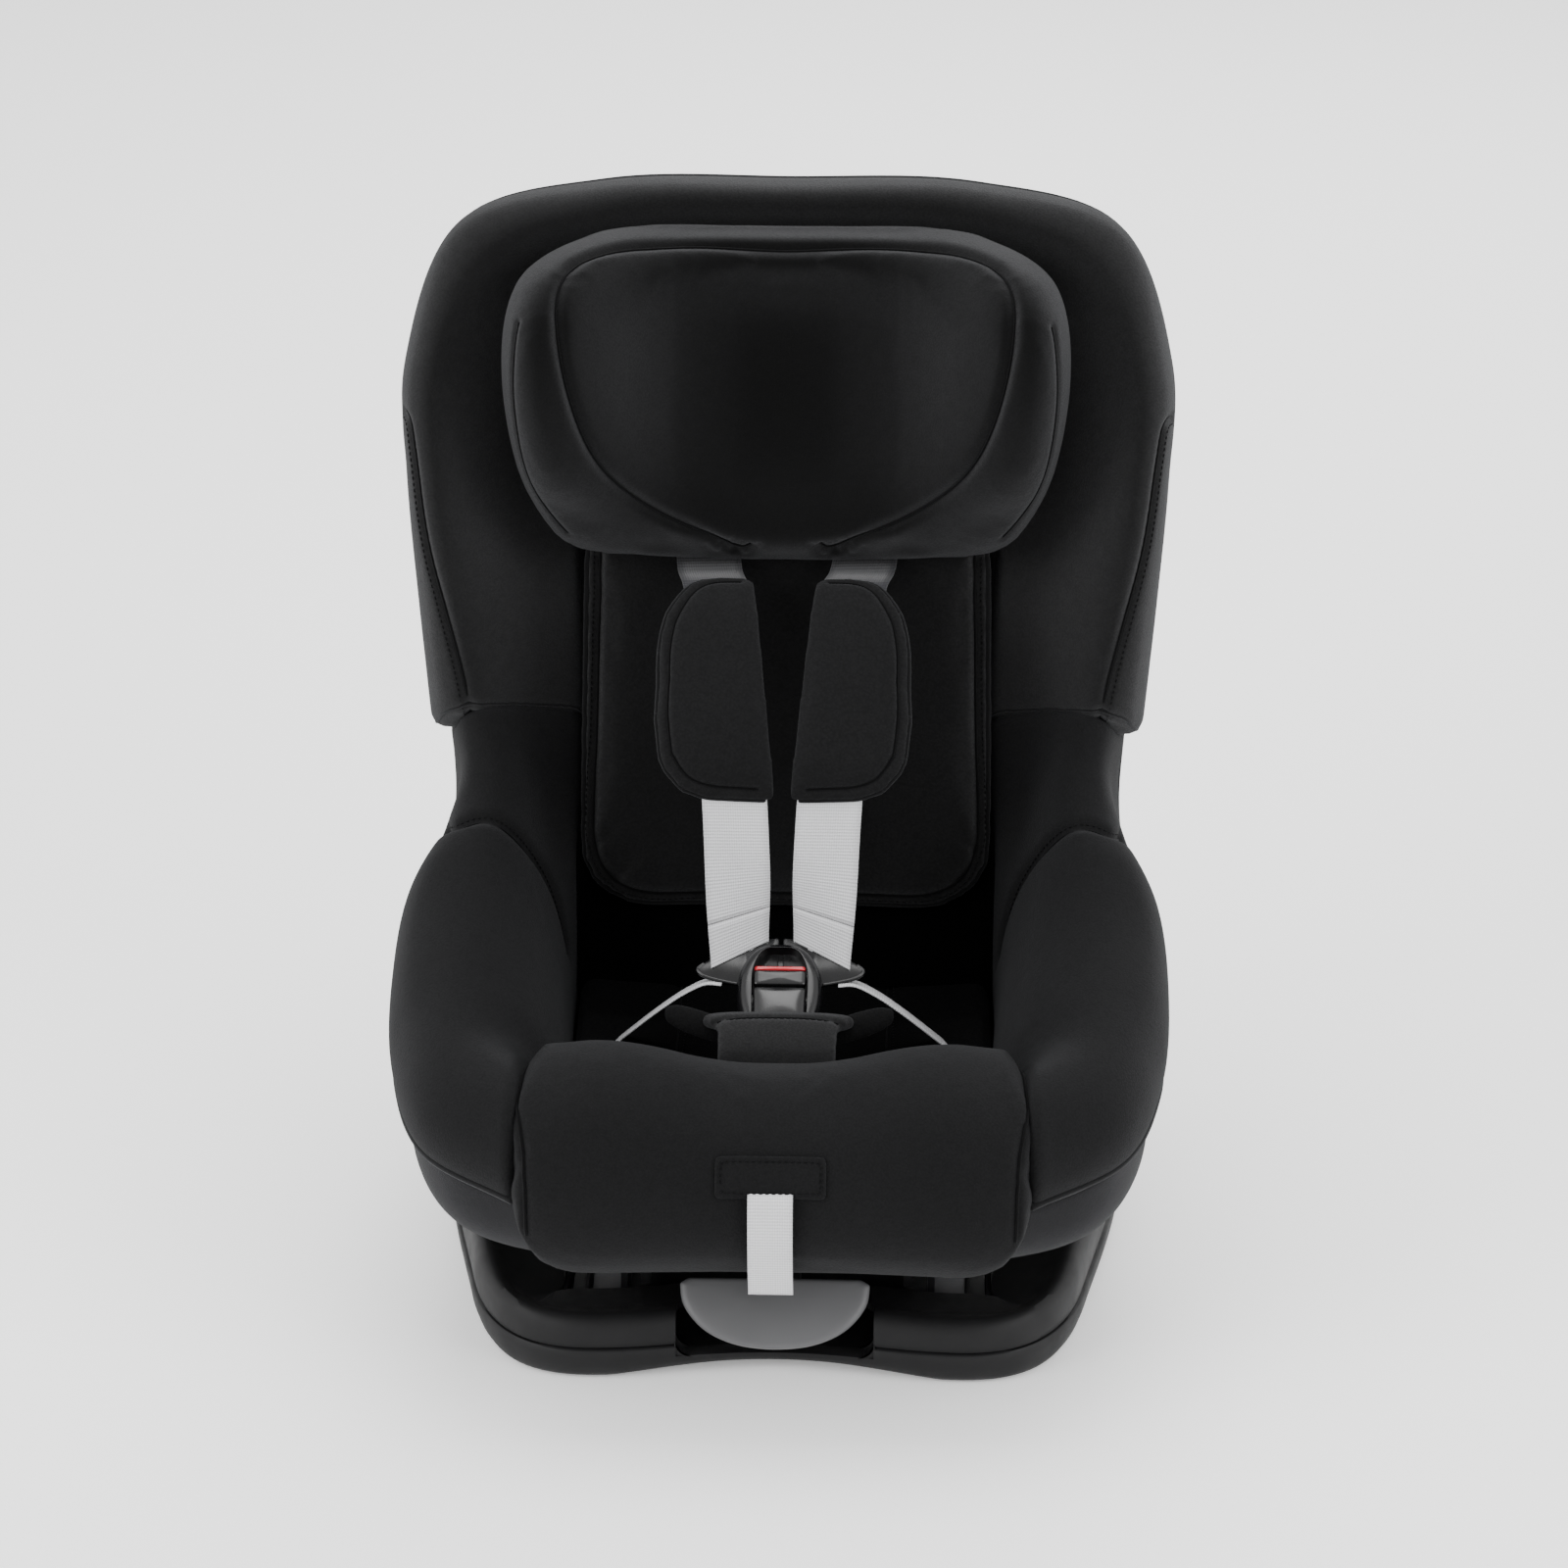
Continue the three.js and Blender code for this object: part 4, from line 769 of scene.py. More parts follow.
# Ribs of the shell: y and z of its middle, how its edges rise in y and z, and its half width.
RIBS = [
    (-226, 96, -6, 36, 139), (-190, 85, -4, 52, 188), (-140, 77, 0, 68, 210), (-90, 72, 0, 84, 214),
    (-40, 70, 0, 96, 211), (16, 71, 4, 112, 203), (66, 82, 2, 148, 194), (92, 112, -12, 168, 194),
    (102, 170, -12, 160, 197), (109, 240, -13, 116, 205), (125, 320, -21, 66, 209), (146, 400, -32, 30, 213),
    (164.5, 470, -42, 4, 216), (180.5, 530, -43, -6, 210), (191, 570, -41, -2, 180), (192, 594, -30, 6, 120),
]
# One side of every rib, as shares of its half width and of its rise.
RIB_PROFILE = [(0, 0), (0.45, 0), (0.74, 0.02), (0.9, 0.16), (0.97, 0.42), (1, 1)]
SHELL_THICKNESS = 4.0


def shell_grid():
    rows = []
    for y, z, rise_y, rise_z, half in RIBS:
        side = np.array([(half * a, y + rise_y * u, z + rise_z * u) for a, u in RIB_PROFILE])
        rows.append([*flipped(side[:0:-1], -1), *side])
    return spline_grid(rows, 5, 4, False)


def grid_normals(grid):
    return unit(np.cross(np.gradient(grid, axis=1), np.gradient(grid, axis=0)))


def thick_sheet(name, grid, thickness):
    """A sheet with two faces and closed edges, thickened against its normals."""
    rows, columns = grid.shape[:2]
    inner = grid - grid_normals(grid) * thickness
    vertices = np.concatenate([grid.reshape(-1, 3), inner.reshape(-1, 3)])
    size = rows * columns
    faces = grid_faces(rows, columns)
    faces += [tuple(i + size for i in reversed(f)) for f in faces]
    border = [(0, j) for j in range(columns)] + [(i, columns - 1) for i in range(1, rows)]
    border += [(rows - 1, j) for j in range(columns - 2, -1, -1)] + [(i, 0) for i in range(rows - 2, 0, -1)]
    for (i, j), (i2, j2) in zip(border, border[1:] + border[:1]):
        a, b = i * columns + j, i2 * columns + j2
        faces.append((a, b, b + size, a + size))
    return mesh_object(name, vertices, faces)


def make_shell():
    grid = shell_grid()[:, ::-1]  # in this order its normals face the back and the underside
    obj = thick_sheet("seat_shell_moulding", grid, SHELL_THICKNESS)
    cuts = [
        ((-20, 20), (60, 230), (392, 583)), ((-14, 14), (60, 150), (126, 142)),
        ((-21, 21), (-162, -142), (60, 100)),
    ]
    cuts += [((s * 48 - 22, s * 48 + 22), (60, 230), (340, 480)) for s in (1, -1)]
    for limits in cuts:
        boolean(obj, block("cut", *limits))
    apply_modifiers(bevel(obj, 1.0, 2, 50))
    finish_piece(obj, "shell", "shell_plastic", ["seat_shell"])

    rim = np.concatenate([grid[:, 0], grid[-1, 1:-1], grid[::-1, -1]])
    finish_piece(cord("shell_rim_bead", resample(rim, 6.0), 3.2), "shell", "shell_plastic")
    normals = grid_normals(grid)
    a, b, c, d = (int(share * (grid.shape[1] - 1)) for share in (0.2, 0.32, 0.68, 0.8))
    for label, j, low in (("a", a, 30), ("b", b, 34), ("c", c, 34), ("d", d, 30)):
        line = grid[low:70, j] + normals[low:70, j] * 0.3
        finish_piece(cord("shell_stiffener_" + label, resample(line, 6.0), 3.4), "shell", "shell_plastic")
    whole, parted = [(a, d)], [(a, b), (c, d)]
    for number, (i, spans) in enumerate(((37, whole), (44, parted), (62, parted), (68, whole))):
        for part, (first, last) in enumerate(spans):
            line = grid[i, first : last + 1] + normals[i, first : last + 1] * 0.2
            name = "shell_crossbar_%d_%d" % (number, part)
            finish_piece(cord(name, resample(line, 6.0), 3.0), "shell", "shell_plastic")
    for where, x in (("right", 13), ("left", -18)):
        lug = bevel(block("tilt_latch_lug_" + where, (x, x + 5), (53, 67), (63, 86)), 1.5)
        finish_piece(lug, "shell", "shell_plastic")


def make_skirt(side, where):
    """The cover's lower edge, drawn down over the shell's flank beside the knee roll."""
    grid = shell_grid()
    middle, last = (grid.shape[1] - 1) // 2, grid.shape[1] - 1
    normals = -grid_normals(grid)  # outward here, because the grid's columns run from left to right
    crown = 3.0 + 1.6 * np.sin(np.linspace(0, math.pi, 16))[:, None]
    rows = []
    for i in range(31):
        tuck = int(round((1 - smoothstep(31, 22, i)) * 6))  # narrower towards the back
        span = np.linspace(middle + 7 + tuck, last, 16)
        j = np.floor(span).astype(int).clip(0, last - 1)
        t = (span - j)[:, None]
        spots = grid[i, j] * (1 - t) + grid[i, j + 1] * t
        out = normals[i, j] * (1 - t) + normals[i, j + 1] * t
        rows.append(np.vstack([spots + out * crown, (spots + out * 0.4)[::-1]]))
    rows = flipped(rows, side)
    obj = subdivide(tube_grid("side_skirt_" + where, rows, dome=1))
    finish_piece(obj, "shell", "side_fabric")
    finish_piece(cord("side_skirt_hem_" + where, resample(rows[:, 0], 5.0), 2.0), "shell", "piping")


def rounded_ring(half_x, y0, y1, z):
    angles = turns(48)
    x = half_x * squared(np.cos(angles), 6.0)
    y = (y0 + y1) / 2 + (y1 - y0) / 2 * squared(np.sin(angles), 6.0)
    return np.stack([x, y, np.full(48, z)], axis=1)


def make_rear_cover():
    """Ribbed cover over the webbing's run behind the shell."""
    rear = lambda z: 118 + (z - 170) * 0.2 + 26
    rings = []
    for z in np.linspace(150, 340, 39):
        bulge = abs(z - 245) / 95
        front = np.interp(z, [150, 170, 240, 320, 345], [101, 103, 110, 126, 132])
        rings.append(rounded_ring(92 - 5 * bulge**6, front, rear(z) - 10 * bulge**4, z))
    obj = tube_grid("rear_cover_moulding", rings, dome=2)
    for z in range(185, 306, 15):
        press(obj, np.array([(x, rear(z), z) for x in np.linspace(-56, 56, 40)]), 1.8, 2.6)
    finish_piece(subdivide(obj), "shell", "shell_plastic", ["rear_cover"])


# ---------------------------------------------------------------- base

SPLIT_Z = 21.0  # joint between the tray and the rim moulding
BASE_FRONT, BASE_REAR = -205.0, 198.0
RECESS_HALF = 57.0  # half width of the handle's recess


def rim_z(y):
    return 38.0 + 0.135 * (y - BASE_FRONT)


def bezier(a, b, c, d, count):
    t = np.linspace(0, 1, count, endpoint=False)[:, None]
    a, b, c, d = (np.array(p, float) for p in (a, b, c, d))
    return (1 - t) ** 3 * a + 3 * (1 - t) ** 2 * t * b + 3 * (1 - t) * t**2 * c + t**3 * d


def base_loop(inset):
    """The base's outline from above, drawn in from its edge."""
    f, r, i = BASE_FRONT + inset, BASE_REAR - inset, inset
    half = np.vstack([
        bezier((0, f + 12), (45, f + 12), (70, f), (108, f), 20),
        bezier((108, f), (150, f), (172 - i, -172), (181 - i, -128), 20),
        bezier((181 - i, -128), (192 - i, -70), (208 - i, -10), (208 - i, 60), 24),
        bezier((208 - i, 60), (208 - i, 150), (175, r), (130, r), 24),
        bezier((130, r), (90, r), (40, r), (0, r), 14),
        [(0, r)],
    ])
    return np.vstack([half, half[-2:0:-1] * [-1, 1]])


def ring_at(inset, share, drop):
    """The outline at a share of the height from the joint up to the rim, less a drop."""
    loop = base_loop(inset)
    return np.column_stack([loop, SPLIT_Z + (rim_z(loop[:, 1]) - SPLIT_Z) * share - drop])


def make_base():
    # Section of the rim moulding: inset, share of the height, and drop below that.
    section = [
        (4.0, 0, 0), (2.4, 0.04, 0), (2.0, 0.2, 0), (2.2, 0.45, 0), (3.4, 0.75, 0), (6.0, 0.92, 0),
        (9.5, 1, -0.2), (13.5, 1, 0.6), (18, 1, 2.6), (24, 1, 6.5), (34, 1, 10.5), (53, 1, 13),
        (54.5, 1, 14), (54.5, 1, 16.5), (30, 1, 13), (16, 1, 6.4), (9, 1, 9), (6, 0.35, 0), (6.5, 0, 0),
    ]
    rings = np.swapaxes(np.array([ring_at(*cut) for cut in section]), 0, 1)
    upper = tube_grid("base_upper_moulding", rings, closed_rows=True)
    half = RECESS_HALF
    notch = pillow_outline([(-half, -262), (half, -262), (half, -166), (-half, -166)], 10)
    cut_out(upper, notch, (14.0, 90.0))
    deck = pillow_outline([(-55, -168), (55, -168), (55, -130), (-55, -130)], 4, 3)
    cut_out(upper, deck, (14.0, 90.0))
    apply_modifiers(bevel(upper, 1.2, 3, 50))
    finish_piece(upper, "base", "base_plastic", ["base_upper"])

    # Section of the tray: inset, height, and the share of an arch in the middle of its front and rear edges.
    rows = [
        (30, 1, 1), (9, 1, 1), (5.5, 2, 0.9), (3, 5, 0.6), (1.2, 10, 0.2), (0.5, 15, 0), (0.6, 19.6, 0),
        (1.6, 20.6, 0), (8, 20.6, 0), (9, 19, 0), (14, 8, 0),
    ]
    rings = []
    for inset, z, share in rows:
        loop = base_loop(inset)
        arch = 6.0 * np.clip(1 - (loop[:, 0] / 95) ** 2, 0, 1)
        rings.append(np.column_stack([loop, z + arch * share]))
    lower = tube_grid("base_lower_moulding", rings)
    lip = pillow_outline([(-half, -262), (half, -262), (half, -180), (-half, -180)], 9)
    cut_out(lower, lip, (14.5, 60.0))
    for side, where in SIDES:
        make_recess_corner(side, where)
    circle = np.column_stack([np.cos(turns(48)), np.sin(turns(48)), np.zeros(48)])
    foot = [circle * radius + [0, 0, z] for radius, z in ((12.8, 0.0), (14.0, 1.2), (14.0, 7.0))]
    boolean(lower, tube_grid("centre_foot", foot), "UNION")
    apply_modifiers(bevel(lower, 1.0, 3, 50))
    finish_piece(lower, "base", "base_plastic", ["base_lower"])
    for side, where in SIDES:
        make_clamp_ears(side, where)


def make_recess_corner(side, where):
    """The rounded lower corner of the handle's recess."""
    turn = np.linspace(0, math.pi / 2, 9)
    edge = np.column_stack([57.3 - 9 * (1 - np.cos(turn)), 14.0 + 9 * (1 - np.sin(turn))])
    section = np.vstack([edge, [[57.3 - 9, 13.6], [57.6, 13.6], [57.6, 23]]])
    front = base_loop(1.5)
    ahead = front[front[:, 1] < -150]
    y0 = ahead[np.argmin(np.abs(ahead[:, 0] - side * RECESS_HALF)), 1]
    rings = [[(side * x, y, z) for x, z in section] for y in (y0, y0 + 12)]
    finish_piece(tube_grid("recess_corner_" + where, rings), "base", "base_plastic")


def make_clamp_ears(side, where):
    """The ears that hold a belt clamp's pin, and two ribs of the tray."""
    for label, x in (("inner", 144.6), ("outer", 168.2)):
        name = "clamp_ear_%s_%s" % (label, where)
        ear = bevel(block(name, sorted((side * x, side * (x + 3.2))), (90, 102), (64, 94)), 1.4)
        finish_piece(ear, "base", "base_plastic")
    for number, (x, top) in enumerate(((110, 27), (122, 30))):
        name = "tray_rib_%s_%d" % (where, number)
        rib = bevel(block(name, sorted((side * x, side * (x + 3))), (-150, -92), (8.2, top)), 0.8, 2)
        finish_piece(rib, "base", "base_plastic")


# ---------------------------------------------------------------- pads


def pillow_outline(corners, radius, steps=6):
    """A polygon with rounded corners. radius is one number, or one for each corner."""
    corners = [np.array(c, float) for c in corners]
    radii = radius if isinstance(radius, list) else [radius] * len(corners)
    out = []
    for k, (corner, r) in enumerate(zip(corners, radii)):
        a = corner + unit(corners[k - 1] - corner) * r
        b = corner + unit(corners[(k + 1) % len(corners)] - corner) * r
        out += [(1 - t) ** 2 * a + 2 * (1 - t) * t * corner + t**2 * b for t in np.linspace(0, 1, steps + 1)]
    return np.array(out)


def even_outline(corners, radius, steps, spacing):
    return resample(pillow_outline(corners, radius, steps), spacing, closed=True)


def shrunk(outline, share):
    """An outline drawn in towards its middle."""
    centre = (outline.min(axis=0) + outline.max(axis=0)) / 2
    return centre + (outline - centre) * share


def pillow(name, outline, lift, rows):
    """A crowned pad over an outline. rows are (share of the outline, height), from the back to the front."""
    rings = [[lift(x, t, height) for x, t in shrunk(outline, share)] for share, height in rows]
    return tube_grid(name, rings)


def ribbon(name, path, width, thickness, side):
    """Webbing along a path. side is one direction, or one for each path point. Its UVs are in mm."""
    p = resample(path, 3.0)
    lengths, given = arc_lengths(p), arc_lengths(path)
    sides = np.broadcast_to(np.asarray(side, float), (len(path), 3))
    sides = unit(looked_up(lengths * given[-1] / lengths[-1], given, sides))
    ups = unit(np.cross(np.gradient(p, axis=0), sides))
    across = np.linspace(-0.5, 0.5, 8) * width
    rings, spots = [], []
    for spot, sideways, up, length in zip(p, sides, ups, lengths):
        flat = spot + np.outer(across, sideways)
        rings.append(np.vstack([flat + up * thickness / 2, (flat - up * thickness / 2)[::-1]]))
        spots += [(x, length) for x in [*across, *across[::-1]]]
    faces = grid_faces(len(rings), len(rings[0]), False, True) + end_faces(rings)
    obj = mesh_object(name, np.concatenate(rings), faces)
    for cap in obj.data.polygons[-2:]:
        cap.use_smooth = False
    layer = obj.data.uv_layers.new(name="UVMap")
    for loop in obj.data.loops:
        layer.data[loop.index].uv = spots[loop.vertex_index]
    return obj


ROLL_HALF = 145.0  # half width of the knee roll at the front
ROLL_REAR_HALF = 131.0  # and where it meets the seat
ROLL_CORNER = 56.0


def roll_half(y):
    return np.interp(y, [-204, -156], [ROLL_HALF, ROLL_REAR_HALF])


def roll_ring(loop, share):
    """A cut through the knee roll at a share of its half width."""
    ring = loop.copy()
    x = abs(share) * ROLL_HALF
    lift = 3 + 11 * smoothstep(12, 100, x) - 3 * smoothstep(105, 135, x)
    ring[:, 2] += lift * smoothstep(140, 196, ring[:, 2])
    corner = np.clip((x - (ROLL_HALF - ROLL_CORNER)) / ROLL_CORNER, 0, 1)
    floor = 94 + 62 * (1 - (1 - corner**2.3) ** (1 / 2.3))
    top = 214 - 30 * (1 - math.sqrt(1 - np.clip((x - 121) / 24, 0, 1) ** 2))
    squeeze = np.clip((ring[:, 2] - 94) / (216 - 94), 0, 1)
    ring[:, 2] = np.where(ring[:, 2] < floor, floor + squeeze * 3, ring[:, 2])
    ring[:, 2] = np.minimum(ring[:, 2], top)
    front = smoothstep(-190, -260, ring[:, 1])
    ring[:, 1] += 10 * front * np.clip((x - 95) / 50, 0, 1) ** 2.5
    ring[:, 0] = share * roll_half(ring[:, 1])
    return ring


def make_front_roll():
    """Knee roll over the shell's lip: its top dips in the middle and its lower corners are cut round."""
    profile = [
        (-158, 108), (-156, 140), (-158, 172), (-171, 190), (-196, 200), (-228, 197), (-254, 183),
        (-269, 160), (-273, 138), (-269, 116), (-257, 101), (-240, 95), (-224, 99), (-190, 104),
    ]
    loop = spline([(0, y, z) for y, z in profile], 5, closed=True)
    shares = np.sin(np.linspace(-math.pi / 2, math.pi / 2, 89))
    obj = tube_grid("front_roll_padding", [roll_ring(loop, share) for share in shares], dome=2)
    inflate(obj, 5.0, 2.2, 2.5)
    co = coordinates(obj)
    limit = roll_half(co[:, 1]) + 1.0
    co[:, 0] = np.clip(co[:, 0], -limit, limit)
    set_coordinates(obj, co)
    tree = tree_of(obj)
    for side, where in SIDES:
        ends = loop[int(0.16 * len(loop)) : int(0.62 * len(loop))] + [side * 139, 0, 0]
        edge = on_surface(tree, resample(ends, 4.0), -0.2)[0]
        press(obj, edge, 1.4, 3.0)
        finish_piece(cord("roll_end_seam_" + where, edge, 0.8), "shell", "thread")
    finish_piece(obj, "shell", "bolster_fabric", ["front_roll"])
    return tree_of(obj)


def make_flap(tree):
    """The patch over the webbing adjuster, sewn along its edge."""

    def lift(x, z, height):
        hit, normal = tree.ray_cast(Vector((x, -340, z)) * MM, Vector((0, 1, 0)))[:2]
        return np.array(hit) / MM + np.array(normal) * height

    patch = even_outline([(-31, 158), (31, 158), (31, 179), (-31, 179)], 2.5, 3, 1.5)
    rows = [
        (0.2, 0.2), (0.6, 0.2), (0.94, 0.2), (1.0, 0.9), (0.985, 1.9), (0.95, 2.1), (0.7, 2.3), (0.3, 2.4),
    ]
    obj = subdivide(pillow("adjuster_flap_patch", patch, lift, rows))
    finish_piece(obj, "shell", "bolster_fabric", ["adjuster_flap"])
    inset = even_outline([(-28, 161), (28, 161), (28, 176.5), (-28, 176.5)], 2, 3, 1.5)
    spots = [lift(x, z, 2.45) for x, z in inset]
    normals = np.tile([0, -0.94, 0.34], (len(spots), 1))
    finish_piece(stitches("adjuster_flap_stitches", spots, normals, closed=True), "shell", "thread")


def make_back_pad():
    outline = even_outline([(-126, 194), (126, 194), (121, 424), (-121, 424)], [48, 48, 14, 14], 10, 4.0)
    rows = [
        (0.1, 3), (0.5, 3), (0.9, 3.5), (0.975, 5.5), (1.0, 9), (0.985, 13), (0.955, 14.6), (0.93, 14.9),
        (0.9, 16), (0.75, 17.5), (0.45, 18), (0.15, 18.2),
    ]
    obj = pillow("back_pad_padding", outline, on_back, rows)
    inflate(obj, 5.0, 2.5, 3.0, behind(5))
    path = on_surface(tree_of(obj), [on_back(x, z, 17) for x, z in shrunk(outline, 0.93)])[0]
    sew(obj, "back_pad_border", path, "shell", depth=2.2, width=3.2, beside=4.0, closed=True)
    edge = on_surface(tree_of(obj), [on_back(x, z, 10.5) for x, z in outline], 0.4)[0]
    piping = cord("back_pad_piping", resample(edge, 3.0, closed=True), 1.9, closed=True)
    finish_piece(piping, "shell", "piping")
    # the back pad's fabric is painted lighter, for light
    finish_piece(obj, "shell", "back_pad_fabric_painted_light", ["back_pad"])


def make_lining():
    """Fabric over the seat back behind the loose pad, from the crease up to the headrest's top."""
    share = np.linspace(-1, 1, 30)
    rings = []
    for z in np.linspace(146, 566, 64):
        half = np.interp(z, [146, 200, 306, 380, 456, 540, 566], [124, 127, 121, 123, 128, 126, 112])
        rim = np.interp(z, [380, 440], [4.0, 1.0])
        out = 2.5 - np.cos(share * math.pi / 2) + rim * share**6
        front = [on_back(x, z, h) for x, h in zip(share * half, out)]
        rings.append(front + [on_back(x, z, -20) for x in share[::-1] * half])
    obj = tube_grid("back_lining", rings, dome=2)
    slot = pillow_outline([(-21, 422), (21, 422), (21, 557), (-21, 557)], 4, 4)  # for the headrest's stem
    cut_out(obj, slot, (-40, 20), on_back)
    finish_piece(obj, "shell", "lining_fabric", ["foam_liner"])


def make_cushion():
    """Seat cushion with a shallow dish and rolled sides."""
    share = np.linspace(-1, 1, 44)
    x = np.concatenate([share, share[::-1]]) * 125
    rise = 7 * share**4 - 9 * np.clip((np.abs(share) - 0.93) / 0.07, 0, 1) ** 2
    rings = []
    for y in np.linspace(-150, 52, 52):
        top = np.interp(y, [-150, -130, -90, -20, 30, 52], [156, 149, 142, 141, 150, 158])
        low = np.interp(y, [48, 60], [86, 100])
        z = np.concatenate([top + rise, np.full(44, low)])
        rings.append(np.column_stack([x, np.full(88, y), z]))
    obj = tube_grid("seat_cushion_padding", rings, dome=2)
    for side, where in SIDES[::-1]:
        ys = np.linspace(-140, 40, 60)
        heights = np.interp(ys, [-150, -90, -20, 52], [158, 143, 142, 158])
        path = on_surface(tree_of(obj), np.column_stack([np.full(60, side * 62), ys, heights]))[0]
        sew(obj, "cushion_seam_" + where, path, "shell", depth=2.5, width=4, beside=4.5)
    finish_piece(subdivide(obj), "shell", "lining_fabric", ["seat_cushion"])


def ovals(name, sections, count, power, dome, across, out):
    """A soft piece over oval sections. Each section is (middle, half width, half thickness)."""
    wide = np.outer(squared(np.cos(turns(count)), power), across)
    thick = np.outer(squared(np.sin(turns(count)), power), out)
    return tube_grid(name, [middle + wide * half + thick * deep for middle, half, deep in sections], dome)


def make_crotch_pad():
    """Pad under the buckle: a stem from the knee roll that flares into a rolled bar."""
    spec = [
        (34, -160, 176, 4.0), (34, -152, 184, 5.0), (34, -144, 189, 5.0), (34.5, -137, 192, 5.5),
        (36, -131, 193.5, 6.5), (41, -125, 193, 7.5), (44, -119, 191, 7.5), (44, -113, 188, 6.5),
        (40, -106, 184, 5.0), (34, -100, 180, 4.0),
    ]
    sections = [(np.array([0, y, z]), half, max(t, 1.0)) for half, y, z, t in spline(spec, 4)]
    obj = ovals("crotch_pad_padding", sections, 44, 3.4, 1.5, [1, 0, 0], [0, -0.4, 0.92])
    inflate(obj, 3.2, 1.6, 1.2)
    tree = tree_of(obj)
    above = [(x, -129.5 - 1.5 * (x / 35) ** 2, 215) for x in np.linspace(-35, 35, 28)]
    hits = [tree.ray_cast(Vector(p) * MM, Vector((0, 0, -1)))[0] for p in above]
    path = np.array([np.array(hit) / MM for hit in hits if hit is not None])
    sew(obj, "crotch_pad_seam", path, "shell", depth=1.6, width=2.2, beside=3.2, puff=0.8)
    finish_piece(obj, "shell", "cover_fabric", ["crotch_pad"])
    facing = unit(np.array([0, -0.75, 0.66]))
    spec = [(26, -112, 180, 7), (38, -110, 182, 8), (50, -106, 184, 8), (59, -102, 185, 7), (64, -99, 185, 5)]
    for side, where in SIDES:
        sections = [(np.array([x * side, y, z]), high, 3.2) for x, y, z, high in spline(spec, 5)]
        ear = ovals("crotch_pad_wing_" + where, sections, 24, 2.0, 3, np.cross([1, 0, 0], facing), facing)
        # the wings' fabric is painted darker, for the shadow beside the buckle
        finish_piece(subdivide(ear), "shell", "wing_fabric_painted_shade")


# ---------------------------------------------------------------- headrest

# Cuts across the headrest from the bottom: half width, height, reach of the wings and depth of the bowl.
HEAD_ROWS = [
    (122, 406, 20, 16), (134, 414, 32, 22), (145, 430, 48, 21), (154, 450, 68, 16), (160, 474, 80, 12),
    (164, 508, 90, 10), (162, 541, 92, 14), (154, 562, 82, 24), (138, 575, 66, 32), (122, 582, 50, 30),
    (108, 587, 32, 22), (92, 589, 16, 10),
]
HEAD_SEAM = [
    (-22, 20, 411), (-20, 20, 419), (-32, 20, 432), (-52, 20, 440), (-82, 20, 455), (-108, 20, 480),
    (-123, 20, 518), (-130, 20, 555), (-131, 20, 585), (-122, 20, 601), (-95, 20, 611), (-50, 20, 614),
    (0, 20, 611),
]
HEAD_EDGE = [
    (-153, 20, 566), (-157, 20, 536), (-156, 20, 506), (-152, 20, 480), (-142, 20, 456), (-127, 20, 437),
]


def head_cut(half, z, reach, hollow):
    """One cut across the headrest: from its back round to the middle of its bowl, and the mirror of that."""
    spots = [
        (0.12, 0), (0.45, 0), (0.8, 3), (0.97, 14), (1.0, reach * 0.5), (0.965, reach * 0.84), (0.885, reach),
        (0.8, reach * 0.98),
    ]
    spots += [(k, hollow + (reach * 0.78 - hollow) * (k / 0.66) ** 2.3) for k in (0.66, 0.42, 0.2, 0.06)]
    side = np.array([on_back(half * k, z, 32 + out) for k, out in spots])
    return np.vstack([side, flipped(side, -1)[::-1]])


def make_headrest():
    grid = spline_grid([head_cut(*row) for row in HEAD_ROWS], 7, 4, True)
    obj = tube_grid("headrest_padding", grid, dome=6)
    inflate(obj, 5.0, 2.2, 2.6, behind(40))
    line = spline(np.vstack([HEAD_SEAM, flipped(HEAD_SEAM[:-1], -1)[::-1]]), 6)
    panel = eased(tree_of(obj), seen_on(obj, line))
    sew(obj, "headrest_panel_seam", panel, "headrest", depth=3.0, width=3.6, puff=1.0)
    for side, where in SIDES:
        edge = guided(obj, HEAD_EDGE, side)
        sew(obj, "headrest_edge_seam_" + where, edge, "headrest", depth=1.2, width=2.4, cord_radius=0.6)
        for number, (x, z) in enumerate(((19, 427), (27, 430), (36, 428))):
            fold = seen_on(obj, [(x, 20, z - 10), (x + 4, 20, z - 3), (x + 10, 20, z + 2)], side)
            press(obj, spline(fold, 6), 1.6 - 0.3 * number, 2.2)
    # the headrest's cover is painted darker than the backrest's, for shade
    finish_piece(obj, "headrest", "head_fabric_painted_shade", ["headrest_pad"])


# ---------------------------------------------------------------- harness

HARNESS_X = 48.0
HARNESS_WIDTH = 38.0
STEPS = 14  # fine points from one point of the shoulder strap's path to the next
SLOT_LEAN = math.radians(30)  # slope of a latch plate's slot


def shoulder_line():
    x = HARNESS_X
    return spline([
        at_buckle(23.9, 27.3, 0.4), (27, -44, 284), (33, -12, 360), (40, 18, 404), (45, 48, 405),
        (x, 100, 414), (x, 162, 428), (x, 170, 416), (44, 148, 330), (36, 137, 286),
    ], STEPS)


